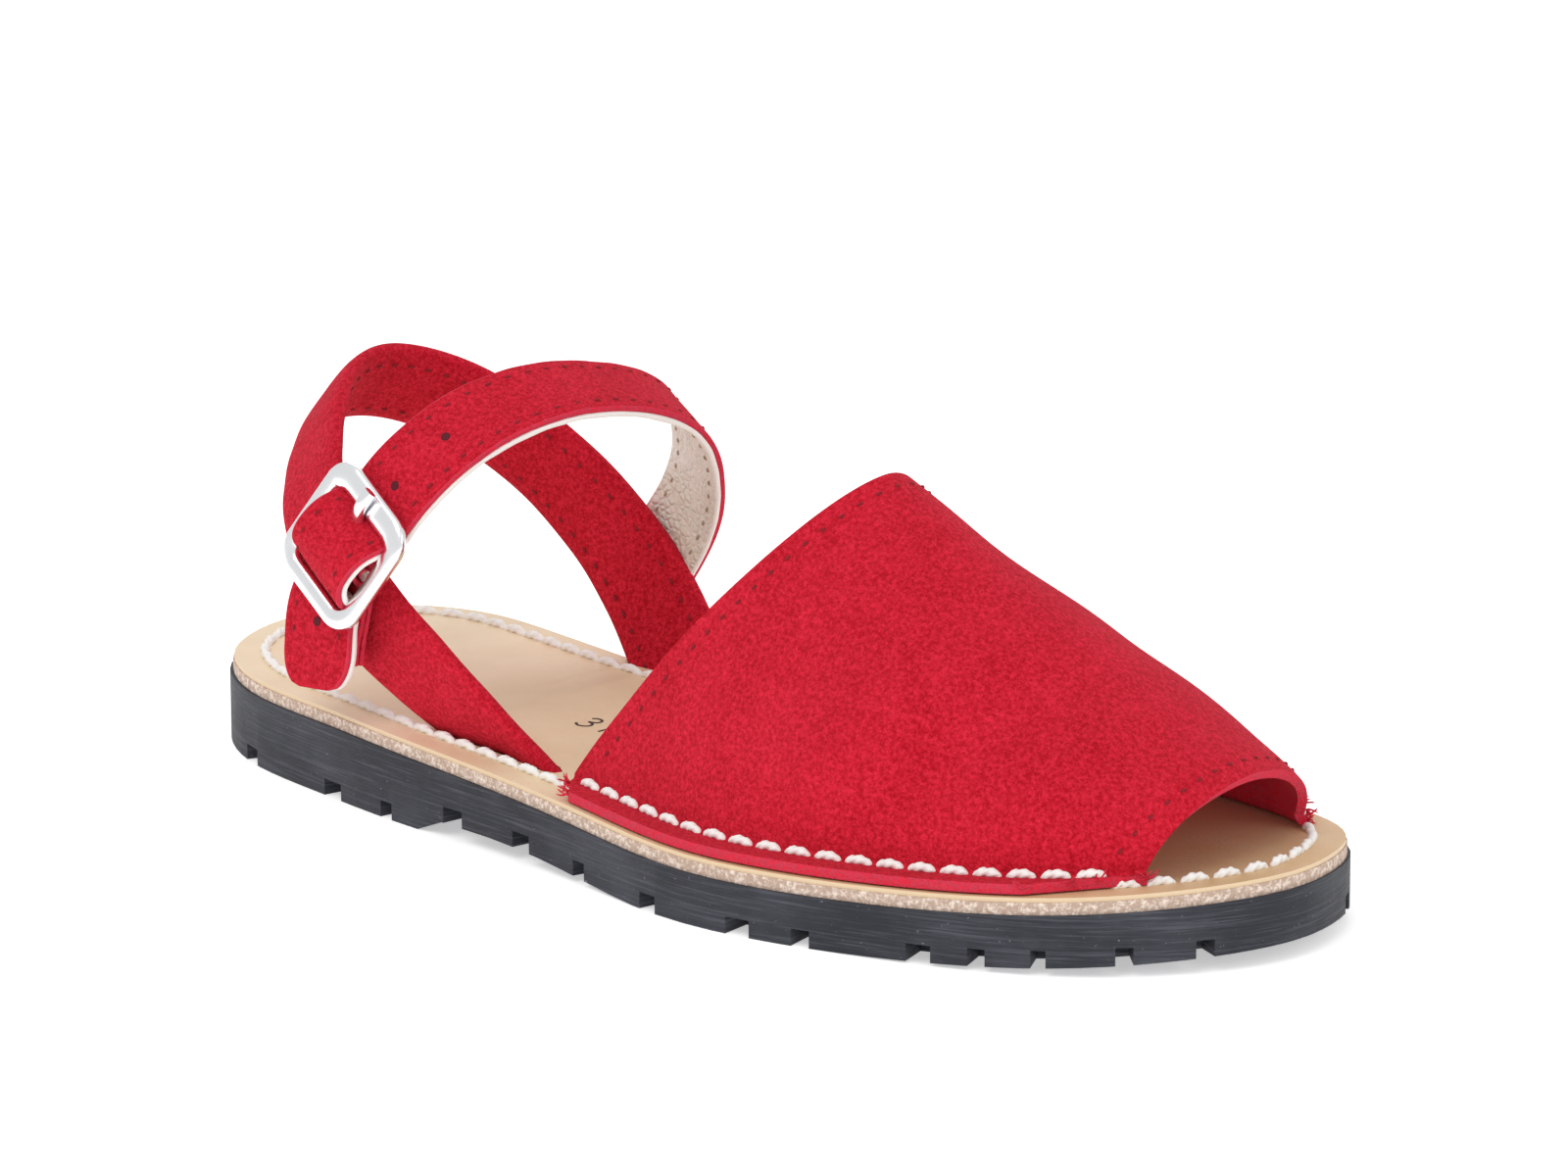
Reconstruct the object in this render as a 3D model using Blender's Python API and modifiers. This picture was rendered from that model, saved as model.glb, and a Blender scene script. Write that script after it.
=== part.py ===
"""Right avarca sandal: a flat child's sandal with a peep-toe vamp, a heel strap and a buckled ankle strap.

Metres, +Z up, toe to +X, big toe side to +Y, standing on z = 0 with the sole's box centred on the origin.
"""
import bpy
import bmesh
import numpy as np
from mathutils import Matrix

# Outsole and insole: sizes in metres, places along the sole as shares of its length
LENGTH = 0.210
BALL_WIDTH = 0.0818
HEEL_WIDTH = 0.056
RUBBER_HEEL = 0.0112
RUBBER_BALL = 0.0077
TOE_SPRING = 0.0028
SPRING_START = 0.714
TAPER_START = 0.21
TAPER_END = 0.66
ARCH_RISE = 0.0023
HEEL_BREAST = 0.350
BREAST_SLOPE = 0.012
ARCH_FADE = 0.4025
ARCH_END = 0.6125
LUG_HEIGHT = 0.0026
LUG_GAP_DEPTH = 0.0055
LUG_GAP_BREADTH = 0.0035
CUT_OVERHANG = 0.0022
BOARD_THICKNESS = 0.0012
BOARD_INSET = 0.0005
COVER_THICKNESS = 0.0007
COVER_INSET = 0.0007
GAP = 0.0003
TIP_FLAT = 0.00005

# Vamp
VAMP_WALL = 0.0015
VAMP_RISE = 0.0500
FLANGE_INSET = 0.0074
FLANGE_RIM = 0.0014
FOLD_RADIUS = 0.0022
FOLD_ANGLES = (0, 30, 60)

# Straps
STRAP_DATUM = 0.350
STRAP_RISE = 0.044
HEEL_STRAP_WIDTH = 0.0160
HEEL_STRAP_THICKNESS = 0.0032
ANKLE_STRAP_WIDTH = 0.0140
ANKLE_STRAP_THICKNESS = 0.0018
SLOT_CLEARANCE = 0.0004
HEEL_STRAP_FULLNESS = 2.9
STRIP_EASE = 0.2
TIP_BREADTH = 0.42

# Buckle
FRAME_WIDTH = 0.0197
FRAME_HEIGHT = 0.0205
FRAME_WIRE = 0.0012
FRAME_CORNER = 0.0034
BAR_WIRE = 0.0009
PRONG_WIRE = 0.0008
PRONG_HOLE_CLEARANCE = 0.0004
TAB_WIDTH = 0.0120
TAB_LEATHER = 0.0008
TAB_SEAM = 0.0003

# Fineness of the meshes
OUTLINE_POINTS = 1200
STATIONS = 56
VAMP_STEPS = 18
ARCH_STEPS = 22
RIBBON_STEPS = 44
TIP_STEPS = 20
PADDED_POINTS = 14
CORNER_POINTS = 7
PRONG_POINTS = 16
WIRE_RESOLUTION = 2
SHARP_ANGLE = 0.7

# Outline of the sole: place along the length, half breadths as shares of the ball width
OUTLINE = [
    # along, lateral, medial
    (0.030, 0.152, 0.268),
    (0.060, 0.232, 0.326),
    (0.100, 0.293, 0.357),
    (0.150, 0.335, 0.354),
    (0.220, 0.368, 0.325),
    (0.300, 0.400, 0.302),
    (0.400, 0.422, 0.312),
    (0.500, 0.451, 0.358),
    (0.600, 0.494, 0.427),
    (0.680, 0.495, 0.478),
    (0.780, 0.436, 0.500),
    (0.850, 0.374, 0.477),
    (0.900, 0.309, 0.441),
    (0.940, 0.227, 0.391),
    (0.970, 0.131, 0.318),
    (0.990, 0.033, 0.218),
]
HEEL_TIP = 0.066
TOE_TIP = 0.090

# Gaps between the lugs at the sole's edge, on both sides: place along the length, share of the usual breadth
LUG_GAPS = [
    # along, breadth
    (0.004, 0.86),
    (0.115, 1.20),
    (0.230, 1.31),
    (0.298, 0.80),
    (0.375, 1.26),
    (0.452, 1.14),
    (0.520, 0.80),
    (0.601, 1.03),
    (0.687, 1.20),
    (0.737, 0.86),
    (0.823, 1.09),
    (0.862, 0.74),
    (0.900, 0.63),
    (0.945, 0.74),
    (0.978, 0.80),
]

# Vamp sections from throat to toe opening: where its two feet and its ridge stand along the length,
# the ridge's height as a share of the vamp's rise, the fullness of the arch, and the flange's place
VAMP_SECTIONS = [
    # lateral foot, medial foot, ridge, height, fullness, lateral flange, medial flange
    (0.483, 0.499, 0.663, 1.000, 1.74, 0.500, 0.514),
    (0.596, 0.607, 0.735, 0.818, 1.80, 0.596, 0.607),
    (0.708, 0.712, 0.805, 0.634, 1.84, 0.696, 0.700),
    (0.819, 0.816, 0.875, 0.438, 1.84, 0.792, 0.796),
    (0.930, 0.919, 0.948, 0.232, 1.80, 0.886, 0.890),
]

# Heel strap from the lateral slot, around the heel, to the medial slot: places as shares of the length,
# the heel width and the strap's rise, and the way its face looks (degrees)
HEEL_STRAP = [
    # along, across, height, turn, tilt
    (0.423, -0.386, -0.132, -105, -37),
    (0.304, -0.506, 0.270, -89, -10),
    (0.211, -0.483, 0.598, -101, 13),
    (0.146, -0.293, 0.874, -122, 30),
    (0.111, -0.014, 1.005, -176, 39),
    (0.136, 0.260, 0.910, -232, 27),
    (0.207, 0.430, 0.642, -257, 7),
    (0.281, 0.486, 0.276, -255, -12),
    (0.354, 0.420, -0.136, -257, -33),
]

# Ankle strap from the buckle's side, over the instep, to the medial side of the heel strap
ANKLE_STRAP = [
    # along, across, height, turn, tilt
    (0.325, -0.356, 1.075, -65, 49),
    (0.348, -0.139, 1.163, -28, 67),
    (0.359, 0.104, 1.134, 25, 65),
    (0.358, 0.323, 1.021, 52, 44),
    (0.341, 0.468, 0.827, 66, 21),
    (0.313, 0.540, 0.600, 74, 2),
    (0.270, 0.512, 0.303, 95, -17),
]

# Free end of the ankle strap, from its tip through the buckle: shares of the strap's width, of the frame's
# height and, outwards, of the strap's height over the centre bar or of its depth under the frame
STRAP_TIP = [
    # across, along, outwards
    (0.620, -1.028, -1.36),
    (0.335, -0.760, -1.20),
    (0.057, -0.449, -1.08),
    (0.014, -0.371, -1.08),
    (0.000, -0.298, -0.58),
    (0.000, -0.224, 0.21),
    (0.000, -0.117, 0.88),
    (0.000, 0.000, 1.06),
    (0.000, 0.117, 0.85),
    (0.000, 0.215, 0.24),
    (0.000, 0.283, -0.50),
    (0.000, 0.361, -1.00),
    (0.000, 0.449, -1.08),
]

# Buckle: place of its centre bar, and the ways that its face and its upper end look
BUCKLE_ALONG = 0.268
BUCKLE_ACROSS = -0.618
BUCKLE_HEIGHT = 0.666
BUCKLE_TURN = -89
BUCKLE_TILT = 14
BUCKLE_LEAN = 33

# Prong, from beside the centre bar, out through the strap, to its tip over the frame's upper side: shares of
# half the frame's height and of the prong's height over the frame
PRONG_PATH = [
    # up, outwards
    (-0.02, -0.87),
    (0.18, -0.52),
    (0.36, -0.09),
    (0.55, 0.30),
    (0.78, 0.84),
    (1.00, 1.00),
    (1.20, 0.92),
]

# Middle of the folded tab, from the centre bar to its sewn end on the heel strap: shares of the tab's width,
# of the frame's height and of the tab's depth under the strap
TAB_PATH = [
    # across, down, inwards
    (0.000, 0.150, 0.640),
    (0.020, 0.270, 0.930),
    (0.160, 0.440, 1.088),
    (0.340, 0.640, 1.140),
    (0.520, 0.820, 1.270),
]


def clear_scene():
    for old in list(bpy.data.objects):
        bpy.data.objects.remove(old, do_unlink=True)


def spline(knots, values, places, closed=False):
    """Cubic spline through rows of values; closed joins the last row to the first."""
    knots = np.asarray(knots, float)
    values = np.asarray(values, float)
    steps = np.diff(knots)
    n = len(values) - 1 if closed else len(values)
    system = np.zeros((n, n))
    slopes = np.zeros((n, values.shape[1]))
    rises = np.diff(values, axis=0) / steps[:, None]
    for i in range(n):
        if not closed and i in (0, n - 1):
            system[i, i] = 1.0
            continue
        before, after = steps[i - 1], steps[i]
        system[i, (i - 1) % n] += before
        system[i, i] += 2 * (before + after)
        system[i, (i + 1) % n] += after
        slopes[i] = 6 * (rises[i] - rises[i - 1])
    bends = np.linalg.solve(system, slopes)
    if closed:
        bends = np.vstack([bends, bends[:1]])
    cell = np.clip(np.searchsorted(knots, places, side="right") - 1, 0, len(steps) - 1)
    width = steps[cell][:, None]
    right = (np.asarray(places)[:, None] - knots[cell][:, None]) / width
    left = 1 - right
    curve = left * values[cell] + right * values[cell + 1]
    return curve + ((left ** 3 - left) * bends[cell] + (right ** 3 - right) * bends[cell + 1]) * width ** 2 / 6


def chords(points, power=1.0):
    spans = np.linalg.norm(np.diff(points, axis=0), axis=1) ** power
    return np.concatenate([[0.0], np.cumsum(spans)])


def along_to_x(share):
    return (share - 0.5) * LENGTH


def smooth_step(value):
    value = np.clip(value, 0.0, 1.0)
    return value * value * (3 - 2 * value)


def spring(x):
    rise = np.clip((np.asarray(x) - along_to_x(SPRING_START)) / (LENGTH * (1 - SPRING_START)), 0.0, None)
    return TOE_SPRING * rise ** 2


def rubber_top(x):
    taper = (np.asarray(x) - along_to_x(TAPER_START)) / (LENGTH * (TAPER_END - TAPER_START))
    return RUBBER_HEEL + (RUBBER_BALL - RUBBER_HEEL) * smooth_step(taper) + spring(x)


def rubber_bottom(x):
    """Flat under heel and ball, hollowed under the waist behind the heel's front face, sprung at the toe."""
    x = np.asarray(x)
    breast = smooth_step((x - along_to_x(HEEL_BREAST)) / (BREAST_SLOPE * LENGTH))
    fade = smooth_step((along_to_x(ARCH_END) - x) / (LENGTH * (ARCH_END - ARCH_FADE)))
    return ARCH_RISE * breast * fade + spring(x)


def board_bottom(x):
    return rubber_top(x) + GAP


def board_top(x):
    return board_bottom(x) + BOARD_THICKNESS


def cover_bottom(x):
    return board_top(x) + GAP


def cover_top(x):
    return cover_bottom(x) + COVER_THICKNESS


def outline(inset=0.0):
    """Closed outline of the sole seen from above, drawn in by an inset, with its outward normals."""
    lateral = [(along_to_x(row[0]), -row[1] * BALL_WIDTH) for row in OUTLINE]
    medial = [(along_to_x(row[0]), row[2] * BALL_WIDTH) for row in OUTLINE]
    heel = [(along_to_x(0.0), HEEL_TIP * BALL_WIDTH)]
    toe = [(along_to_x(1.0), TOE_TIP * BALL_WIDTH)]
    points = np.array(heel + lateral + toe + medial[::-1] + heel)
    knots = chords(points, 0.5)
    curve = spline(knots, points, np.linspace(0.0, knots[-1], OUTLINE_POINTS + 1), closed=True)[:-1]
    tangent = np.roll(curve, -1, axis=0) - np.roll(curve, 1, axis=0)
    tangent /= np.linalg.norm(tangent, axis=1)[:, None]
    normal = np.column_stack([tangent[:, 1], -tangent[:, 0]])
    return curve - normal * inset, normal


def split_outline(inset=0.0):
    """Lateral and medial halves of the outline, each as x, y and normal sorted from heel to toe."""
    curve, normal = outline(inset)
    rows = np.column_stack([curve, normal])
    heel, toe = curve[:, 0].argmin(), curve[:, 0].argmax()
    rows = np.roll(rows, -heel, axis=0)
    toe = (toe - heel) % len(rows)
    lateral = rows[:toe + 1]
    medial = np.vstack([rows[toe:], rows[:1]])[::-1]
    return lateral, medial


def edge_point(x, side, inset=0.0):
    """Point and outward normal of the outline at a place along the sole; side -1 is lateral."""
    rows = split_outline(inset)[0 if side < 0 else 1]
    y = np.interp(x, rows[:, 0], rows[:, 1])
    normal = np.array([np.interp(x, rows[:, 0], rows[:, 2]), np.interp(x, rows[:, 0], rows[:, 3])])
    return np.array([x, y]), normal / np.linalg.norm(normal)


def material(name, colour, roughness, metallic=0.0):
    made = bpy.data.materials.new(name)
    made.use_nodes = True
    shader = made.node_tree.nodes["Principled BSDF"]
    shader.inputs["Base Color"].default_value = (*colour, 1.0)
    shader.inputs["Roughness"].default_value = roughness
    shader.inputs["Metallic"].default_value = metallic
    made.diffuse_color = (*colour, 1.0)
    return made


def add_mesh(name, verts, faces, collection, finish=None, smooth=True):
    mesh = bpy.data.meshes.new(name)
    mesh.from_pydata([tuple(float(c) for c in v) for v in verts], [], faces)
    mesh.validate()
    mesh.update()
    made = bpy.data.objects.new(name, mesh)
    collection.objects.link(made)
    shape = bmesh.new()
    shape.from_mesh(mesh)
    bmesh.ops.recalc_face_normals(shape, faces=shape.faces)
    shape.to_mesh(mesh)
    shape.free()
    if smooth:
        mesh.shade_smooth()
        mesh.set_sharp_from_angle(angle=SHARP_ANGLE)
    if finish is not None:
        mesh.materials.append(finish)
    return made


def loft(name, rings, collection, finish=None, smooth=True):
    """Closed body through closed rings, with a flat cap on its first and last ring."""
    rings = np.asarray(rings)
    count, size = rings.shape[:2]
    faces = []
    for i in range(count - 1):
        for j in range(size):
            k = (j + 1) % size
            faces.append((i * size + j, i * size + k, (i + 1) * size + k, (i + 1) * size + j))
    faces.append(tuple(range(size))[::-1])
    faces.append(tuple(range((count - 1) * size, count * size)))
    return add_mesh(name, rings.reshape(-1, 3), faces, collection, finish, smooth)


def plate(name, inset, bottom, top, collection, finish=None):
    """Layer of the sole: the outline drawn in by an inset, between two heights that vary along the foot."""
    lateral, medial = split_outline(inset)
    low = lateral[0, 0] + TIP_FLAT
    high = lateral[-1, 0] - TIP_FLAT
    angles = np.linspace(0.0, np.pi, STATIONS + 1)
    rings = []
    for x in (low + high) / 2 - (high - low) / 2 * np.cos(angles):
        near = np.interp(x, lateral[:, 0], lateral[:, 1])
        far = np.interp(x, medial[:, 0], medial[:, 1])
        across = near + (far - near) * np.array([0.0, 0.5, 1.0])
        ring = [(x, y, float(bottom(x))) for y in across]
        ring += [(x, y, float(top(x))) for y in across[::-1]]
        rings.append(ring)
    return loft(name, rings, collection, finish)


def stretched(rows, reach):
    """Rows with their first and last moved on along the path, so that a cutter passes right through."""
    rows = np.array(rows, float)
    for end, inner in ((0, 1), (-1, -2)):
        step = rows[end, :3] - rows[inner, :3]
        rows[end, :3] += step / np.linalg.norm(step) * reach
    return rows


def face_way(turn, tilt):
    turn, tilt = np.radians(turn), np.radians(tilt)
    return np.array([np.cos(tilt) * np.cos(turn), np.cos(tilt) * np.sin(turn), np.sin(tilt)])


def strap_rows(table):
    """Places and face ways of a strap's sections, in metres."""
    rows = []
    for along, across, height, turn, tilt in table:
        place = (along_to_x(along), across * HEEL_WIDTH, strap_base() + height * STRAP_RISE)
        rows.append((*place, *face_way(turn, tilt)))
    return np.array(rows)


def strap_base():
    return float(cover_top(along_to_x(STRAP_DATUM))) - GAP


def sweep_frames(rows, steps):
    """Centre, tangent, face way and width way along a smooth path through rows of places and face ways."""
    knots = chords(rows[:, :3])
    path = spline(knots, rows, np.linspace(0.0, knots[-1], steps + 1))
    centre = path[:, :3]
    tangent = np.gradient(centre, axis=0)
    tangent /= np.linalg.norm(tangent, axis=1)[:, None]
    face = path[:, 3:]
    face = face - (face * tangent).sum(axis=1)[:, None] * tangent
    face /= np.linalg.norm(face, axis=1)[:, None]
    return centre, tangent, face, np.cross(face, tangent)


def padded_section(width, thickness):
    """Section of a folded strap: a flattened round, as offsets across its width and outwards."""
    angles = np.arange(PADDED_POINTS) * 2 * np.pi / PADDED_POINTS
    power = 2 / HEEL_STRAP_FULLNESS
    across = np.sign(np.cos(angles)) * np.abs(np.cos(angles)) ** power * width / 2
    outwards = np.sign(np.sin(angles)) * np.abs(np.sin(angles)) ** power * thickness / 2
    return np.column_stack([across, outwards])


def flat_section(width, thickness):
    """Section of a cut strap: a flat strip with its corners eased."""
    half, deep, ease = width / 2, thickness / 2, thickness * STRIP_EASE
    right = [(half, -deep + ease), (half, deep - ease), (half - ease, deep)]
    left = [(-half + ease, deep), (-half, deep - ease), (-half, -deep + ease)]
    return np.array(right + left + [(-half + ease, -deep), (half - ease, -deep)])


def sweep(name, rows, section, steps, collection, finish=None, taper=None, reach=0.0):
    """Body of one section carried along a path; reach moves both its ends straight on."""
    centre, tangent, face, width = sweep_frames(rows, steps)
    if reach > 0.0:
        centre = np.vstack([centre[:1] - tangent[:1] * reach, centre, centre[-1:] + tangent[-1:] * reach])
        face = np.vstack([face[:1], face, face[-1:]])
        width = np.vstack([width[:1], width, width[-1:]])
    rings = []
    for i in range(len(centre)):
        breadth = section[:, :1] * (taper[i] if taper is not None else 1.0)
        rings.append(centre[i] + breadth * width[i] + section[:, 1:] * face[i])
    return loft(name, rings, collection, finish)


def wire(name, points, radius, collection, finish=None, cyclic=False):
    """Round wire along points, as one closed mesh."""
    curve = bpy.data.curves.new(name + "_path", "CURVE")
    curve.dimensions = "3D"
    curve.bevel_depth = radius
    curve.bevel_resolution = WIRE_RESOLUTION
    curve.use_fill_caps = True
    line = curve.splines.new("POLY")
    line.points.add(len(points) - 1)
    for point, place in zip(line.points, points):
        point.co = (*[float(c) for c in place], 1.0)
    line.use_cyclic_u = cyclic
    guide = bpy.data.objects.new(name + "_guide", curve)
    bpy.context.scene.collection.objects.link(guide)
    bpy.context.view_layer.update()
    seen = guide.evaluated_get(bpy.context.evaluated_depsgraph_get())
    mesh = bpy.data.meshes.new_from_object(seen)
    shape = bmesh.new()
    shape.from_mesh(mesh)
    bmesh.ops.remove_doubles(shape, verts=shape.verts, dist=radius * 0.01)
    bmesh.ops.recalc_face_normals(shape, faces=shape.faces)
    shape.to_mesh(mesh)
    shape.free()
    mesh.name = name
    mesh.materials.clear()
    mesh.shade_smooth()
    made = bpy.data.objects.new(name, mesh)
    made.matrix_world = guide.matrix_world
    bpy.data.objects.remove(guide, do_unlink=True)
    collection.objects.link(made)
    if finish is not None:
        mesh.materials.append(finish)
    return made


def cut(target, tool, operation="DIFFERENCE"):
    modifier = target.modifiers.new(operation.title() + "_" + tool.name, "BOOLEAN")
    modifier.operation = operation
    modifier.solver = "EXACT"
    modifier.object = tool
    tool.hide_render = True
    tool.display_type = "WIRE"


def lug_gap_cutters(collection):
    """One box for each gap between lugs, standing square to the sole's edge."""
    shape = bmesh.new()
    for side in (-1, 1):
        for along, breadth in LUG_GAPS:
            x = along_to_x(along)
            place, normal = edge_point(x, side)
            centre = place - normal * (LUG_GAP_DEPTH - CUT_OVERHANG) / 2
            size = (LUG_GAP_DEPTH + CUT_OVERHANG, breadth * LUG_GAP_BREADTH, 2 * LUG_HEIGHT)
            turn = Matrix.Rotation(float(np.arctan2(normal[1], normal[0])), 4, "Z")
            spot = Matrix.Translation((centre[0], centre[1], float(rubber_bottom(x))))
            bmesh.ops.create_cube(shape, size=1.0, matrix=spot @ turn @ Matrix.Diagonal((*size, 1.0)))
    mesh = bpy.data.meshes.new("lug_gaps")
    shape.to_mesh(mesh)
    shape.free()
    made = bpy.data.objects.new("lug_gaps", mesh)
    collection.objects.link(made)
    return made


def vamp_section(row):
    """Inner face of the vamp at one section: flange, fold, arch over the foot, fold, flange."""
    lateral_foot, medial_foot, ridge, height, fullness, lateral_flange, medial_flange = row
    ends = []
    for side, foot, flange in ((-1, lateral_foot, lateral_flange), (1, medial_foot, medial_flange)):
        x = along_to_x(foot)
        base, normal = edge_point(x, side, FLANGE_INSET)
        rim, _ = edge_point(along_to_x(flange), side, FLANGE_RIM)
        level = float(cover_top(x)) + GAP
        start = base + normal * FOLD_RADIUS
        points = [(*rim, float(cover_top(rim[0])) + GAP)]
        middle = (rim + start) / 2
        points.append((*middle, float(cover_top(middle[0])) + GAP))
        for angle in np.radians(FOLD_ANGLES):
            spot = start - normal * FOLD_RADIUS * np.sin(angle)
            points.append((*spot, level + FOLD_RADIUS * (1 - np.cos(angle))))
        ends.append((points, np.array([*base, level + FOLD_RADIUS])))
    foot_a, foot_b = ends[0][1], ends[1][1]
    middle = (foot_a + foot_b) / 2
    top = np.array([along_to_x(ridge), middle[1], float(cover_top(along_to_x(ridge))) + height * VAMP_RISE])
    angles = np.linspace(0.0, np.pi, ARCH_STEPS + 1)
    out = np.sign(np.cos(angles)) * np.abs(np.cos(angles)) ** (2 / fullness)
    up = np.abs(np.sin(angles)) ** (2 / fullness)
    arch = [middle + o * (foot_a - middle) + u * (top - middle) for o, u in zip(out, up)]
    return np.array(ends[0][0] + arch + ends[1][0][::-1])


def make_vamp(collection, finish):
    table = np.array(VAMP_SECTIONS)
    places = np.linspace(0.0, len(table) - 1.0, VAMP_STEPS + 1)
    rows = spline(np.arange(len(table)), table, places)
    sections = np.array([vamp_section(row) for row in rows])
    count, size = sections.shape[:2]
    faces = []
    for i in range(count - 1):
        for j in range(size - 1):
            faces.append((i * size + j, (i + 1) * size + j, (i + 1) * size + j + 1, i * size + j + 1))
    mesh = bpy.data.meshes.new("vamp")
    mesh.from_pydata([tuple(float(c) for c in v) for v in sections.reshape(-1, 3)], [], faces)
    mesh.update()
    mesh.shade_smooth()
    mesh.materials.append(finish)
    made = bpy.data.objects.new("vamp", mesh)
    collection.objects.link(made)
    wall = made.modifiers.new("Wall", "SOLIDIFY")
    wall.thickness = VAMP_WALL
    wall.offset = 1.0
    wall.use_even_offset = True
    return made


def buckle_axes():
    """Centre of the buckle, and its ways across, up along the strap, and outwards."""
    centre = np.array([along_to_x(BUCKLE_ALONG), BUCKLE_ACROSS * HEEL_WIDTH, strap_base() + BUCKLE_HEIGHT * STRAP_RISE])
    out = face_way(BUCKLE_TURN, BUCKLE_TILT)
    level = np.cross([0.0, 0.0, 1.0], out)
    level /= np.linalg.norm(level)
    upright = np.cross(out, level)
    lean = np.radians(BUCKLE_LEAN)
    up = np.cos(lean) * upright + np.sin(lean) * level
    across = np.cos(lean) * level - np.sin(lean) * upright
    return centre, across, up, out


def buckle_place(across, up, out):
    centre, way_across, way_up, way_out = buckle_axes()
    return centre + across * way_across + up * way_up + out * way_out


def rounded_frame():
    """Points around the middle of the buckle's wire: a rectangle with round corners."""
    half_width = FRAME_WIDTH / 2 - FRAME_WIRE
    half_height = FRAME_HEIGHT / 2 - FRAME_WIRE
    points = []
    corners = [(1, 1, 0), (-1, 1, 90), (-1, -1, 180), (1, -1, 270)]
    for side, end, start in corners:
        for angle in np.radians(start + np.linspace(0.0, 90.0, CORNER_POINTS)):
            across = side * (half_width - FRAME_CORNER) + FRAME_CORNER * np.cos(angle)
            up = end * (half_height - FRAME_CORNER) + FRAME_CORNER * np.sin(angle)
            points.append(buckle_place(across, up, 0.0))
    return points


def make_buckle(parts, cutters, steel):
    frame = wire("buckle_frame", rounded_frame(), FRAME_WIRE, parts, steel, cyclic=True)
    reach = FRAME_WIDTH / 2 - FRAME_WIRE
    bar = wire("centre_bar", [buckle_place(-reach, 0, 0), buckle_place(reach, 0, 0)], BAR_WIRE, cutters)
    cut(frame, bar, "UNION")
    return frame


def prong_path():
    table = np.array(PRONG_PATH) * (FRAME_HEIGHT / 2 - FRAME_WIRE, FRAME_WIRE + PRONG_WIRE + GAP)
    knots = chords(table)
    smooth = spline(knots, table, np.linspace(0.0, knots[-1], PRONG_POINTS))
    return [buckle_place(0.0, up, out) for up, out in smooth]


def prong_room(name, collection):
    """The prong's path with room around it, to cut what the prong passes through."""
    return wire(name, stretched(prong_path(), PRONG_WIRE), PRONG_WIRE + PRONG_HOLE_CLEARANCE, collection)


def tab_rows():
    """A strip folded over the centre bar: up its inner layer, round the bar and down its outer layer."""
    centre, way_across, way_up, way_out = buckle_axes()
    depth = strap_depth() + ANKLE_STRAP_THICKNESS / 2 + GAP + TAB_LEATHER + TAB_SEAM / 2
    path = np.array(TAB_PATH) * (TAB_WIDTH, FRAME_HEIGHT, -depth)
    runs = np.gradient(path[:, 1:], axis=0)
    runs /= np.linalg.norm(runs, axis=1)[:, None]
    faces = np.column_stack([0 * runs[:, 0], -runs[:, 1], runs[:, 0]])
    layer = (TAB_LEATHER + TAB_SEAM) / 2
    loop = BAR_WIRE + GAP + TAB_LEATHER / 2
    rows = [(*(place - face * layer), *-face) for place, face in zip(path[::-1], faces[::-1])]
    for angle in np.radians([-90, -45, 0, 45, 90]):
        way = np.sin(angle) * faces[0] - np.cos(angle) * np.array([0.0, *runs[0]])
        rows.append((*(way * loop), *way))
    rows += [(*(place + face * layer), *face) for place, face in zip(path, faces)]
    rows = np.array(rows)
    ways = np.array([way_across, -way_up, way_out])
    return np.hstack([centre + rows[:, :3] @ ways, rows[:, 3:] @ ways])


def strap_depth():
    """Middle of the ankle strap under the buckle's frame."""
    return FRAME_WIRE + GAP + ANKLE_STRAP_THICKNESS / 2


def tip_rows():
    """The free end's places and face ways: under the frame, over the tab on the centre bar, under the frame."""
    over = BAR_WIRE + GAP + TAB_LEATHER + GAP + ANKLE_STRAP_THICKNESS / 2
    face = buckle_axes()[3]
    rows = []
    for across, along, outwards in STRAP_TIP:
        out = outwards * (over if outwards > 0.0 else strap_depth())
        rows.append((*buckle_place(across * ANKLE_STRAP_WIDTH, along * FRAME_HEIGHT, out), *face))
    return np.array(rows)


def tip_taper(rows, steps):
    """Breadth along the ankle strap: full, and rounded off over the last stretch of its free end."""
    knots = chords(rows[:, :3])
    run = np.linspace(0.0, knots[-1], steps + 1)
    inside = np.clip(1 - run / (ANKLE_STRAP_WIDTH * TIP_BREADTH), 0.0, 1.0)
    return TIP_BREADTH + (1 - TIP_BREADTH) * np.sqrt(1 - inside ** 2)


def make_straps(parts, cutters, suede):
    """Heel strap and ankle strap in one body, joined where the ankle strap is sewn to the heel strap."""
    heel_rows = strap_rows(HEEL_STRAP)
    section = padded_section(HEEL_STRAP_WIDTH, HEEL_STRAP_THICKNESS)
    straps = sweep("straps", heel_rows, section, RIBBON_STEPS, parts, suede, reach=HEEL_STRAP_WIDTH / 2)
    ankle_rows = np.vstack([tip_rows(), strap_rows(ANKLE_STRAP)])
    steps = RIBBON_STEPS + TIP_STEPS
    flat = flat_section(ANKLE_STRAP_WIDTH, ANKLE_STRAP_THICKNESS)
    ankle = sweep("ankle_strap", ankle_rows, flat, steps, cutters, suede, tip_taper(ankle_rows, steps))
    cut(ankle, prong_room("prong_hole", cutters))
    cut(straps, ankle, "UNION")
    floor = plate("strap_floor", -HEEL_STRAP_WIDTH, lambda x: -HEEL_STRAP_WIDTH, board_bottom, cutters)
    cut(straps, floor)
    section = padded_section(HEEL_STRAP_WIDTH + 2 * SLOT_CLEARANCE, HEEL_STRAP_THICKNESS + 2 * SLOT_CLEARANCE)
    slots = sweep("strap_slots", heel_rows, section, RIBBON_STEPS, cutters, reach=HEEL_STRAP_WIDTH)
    return straps, slots


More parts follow.
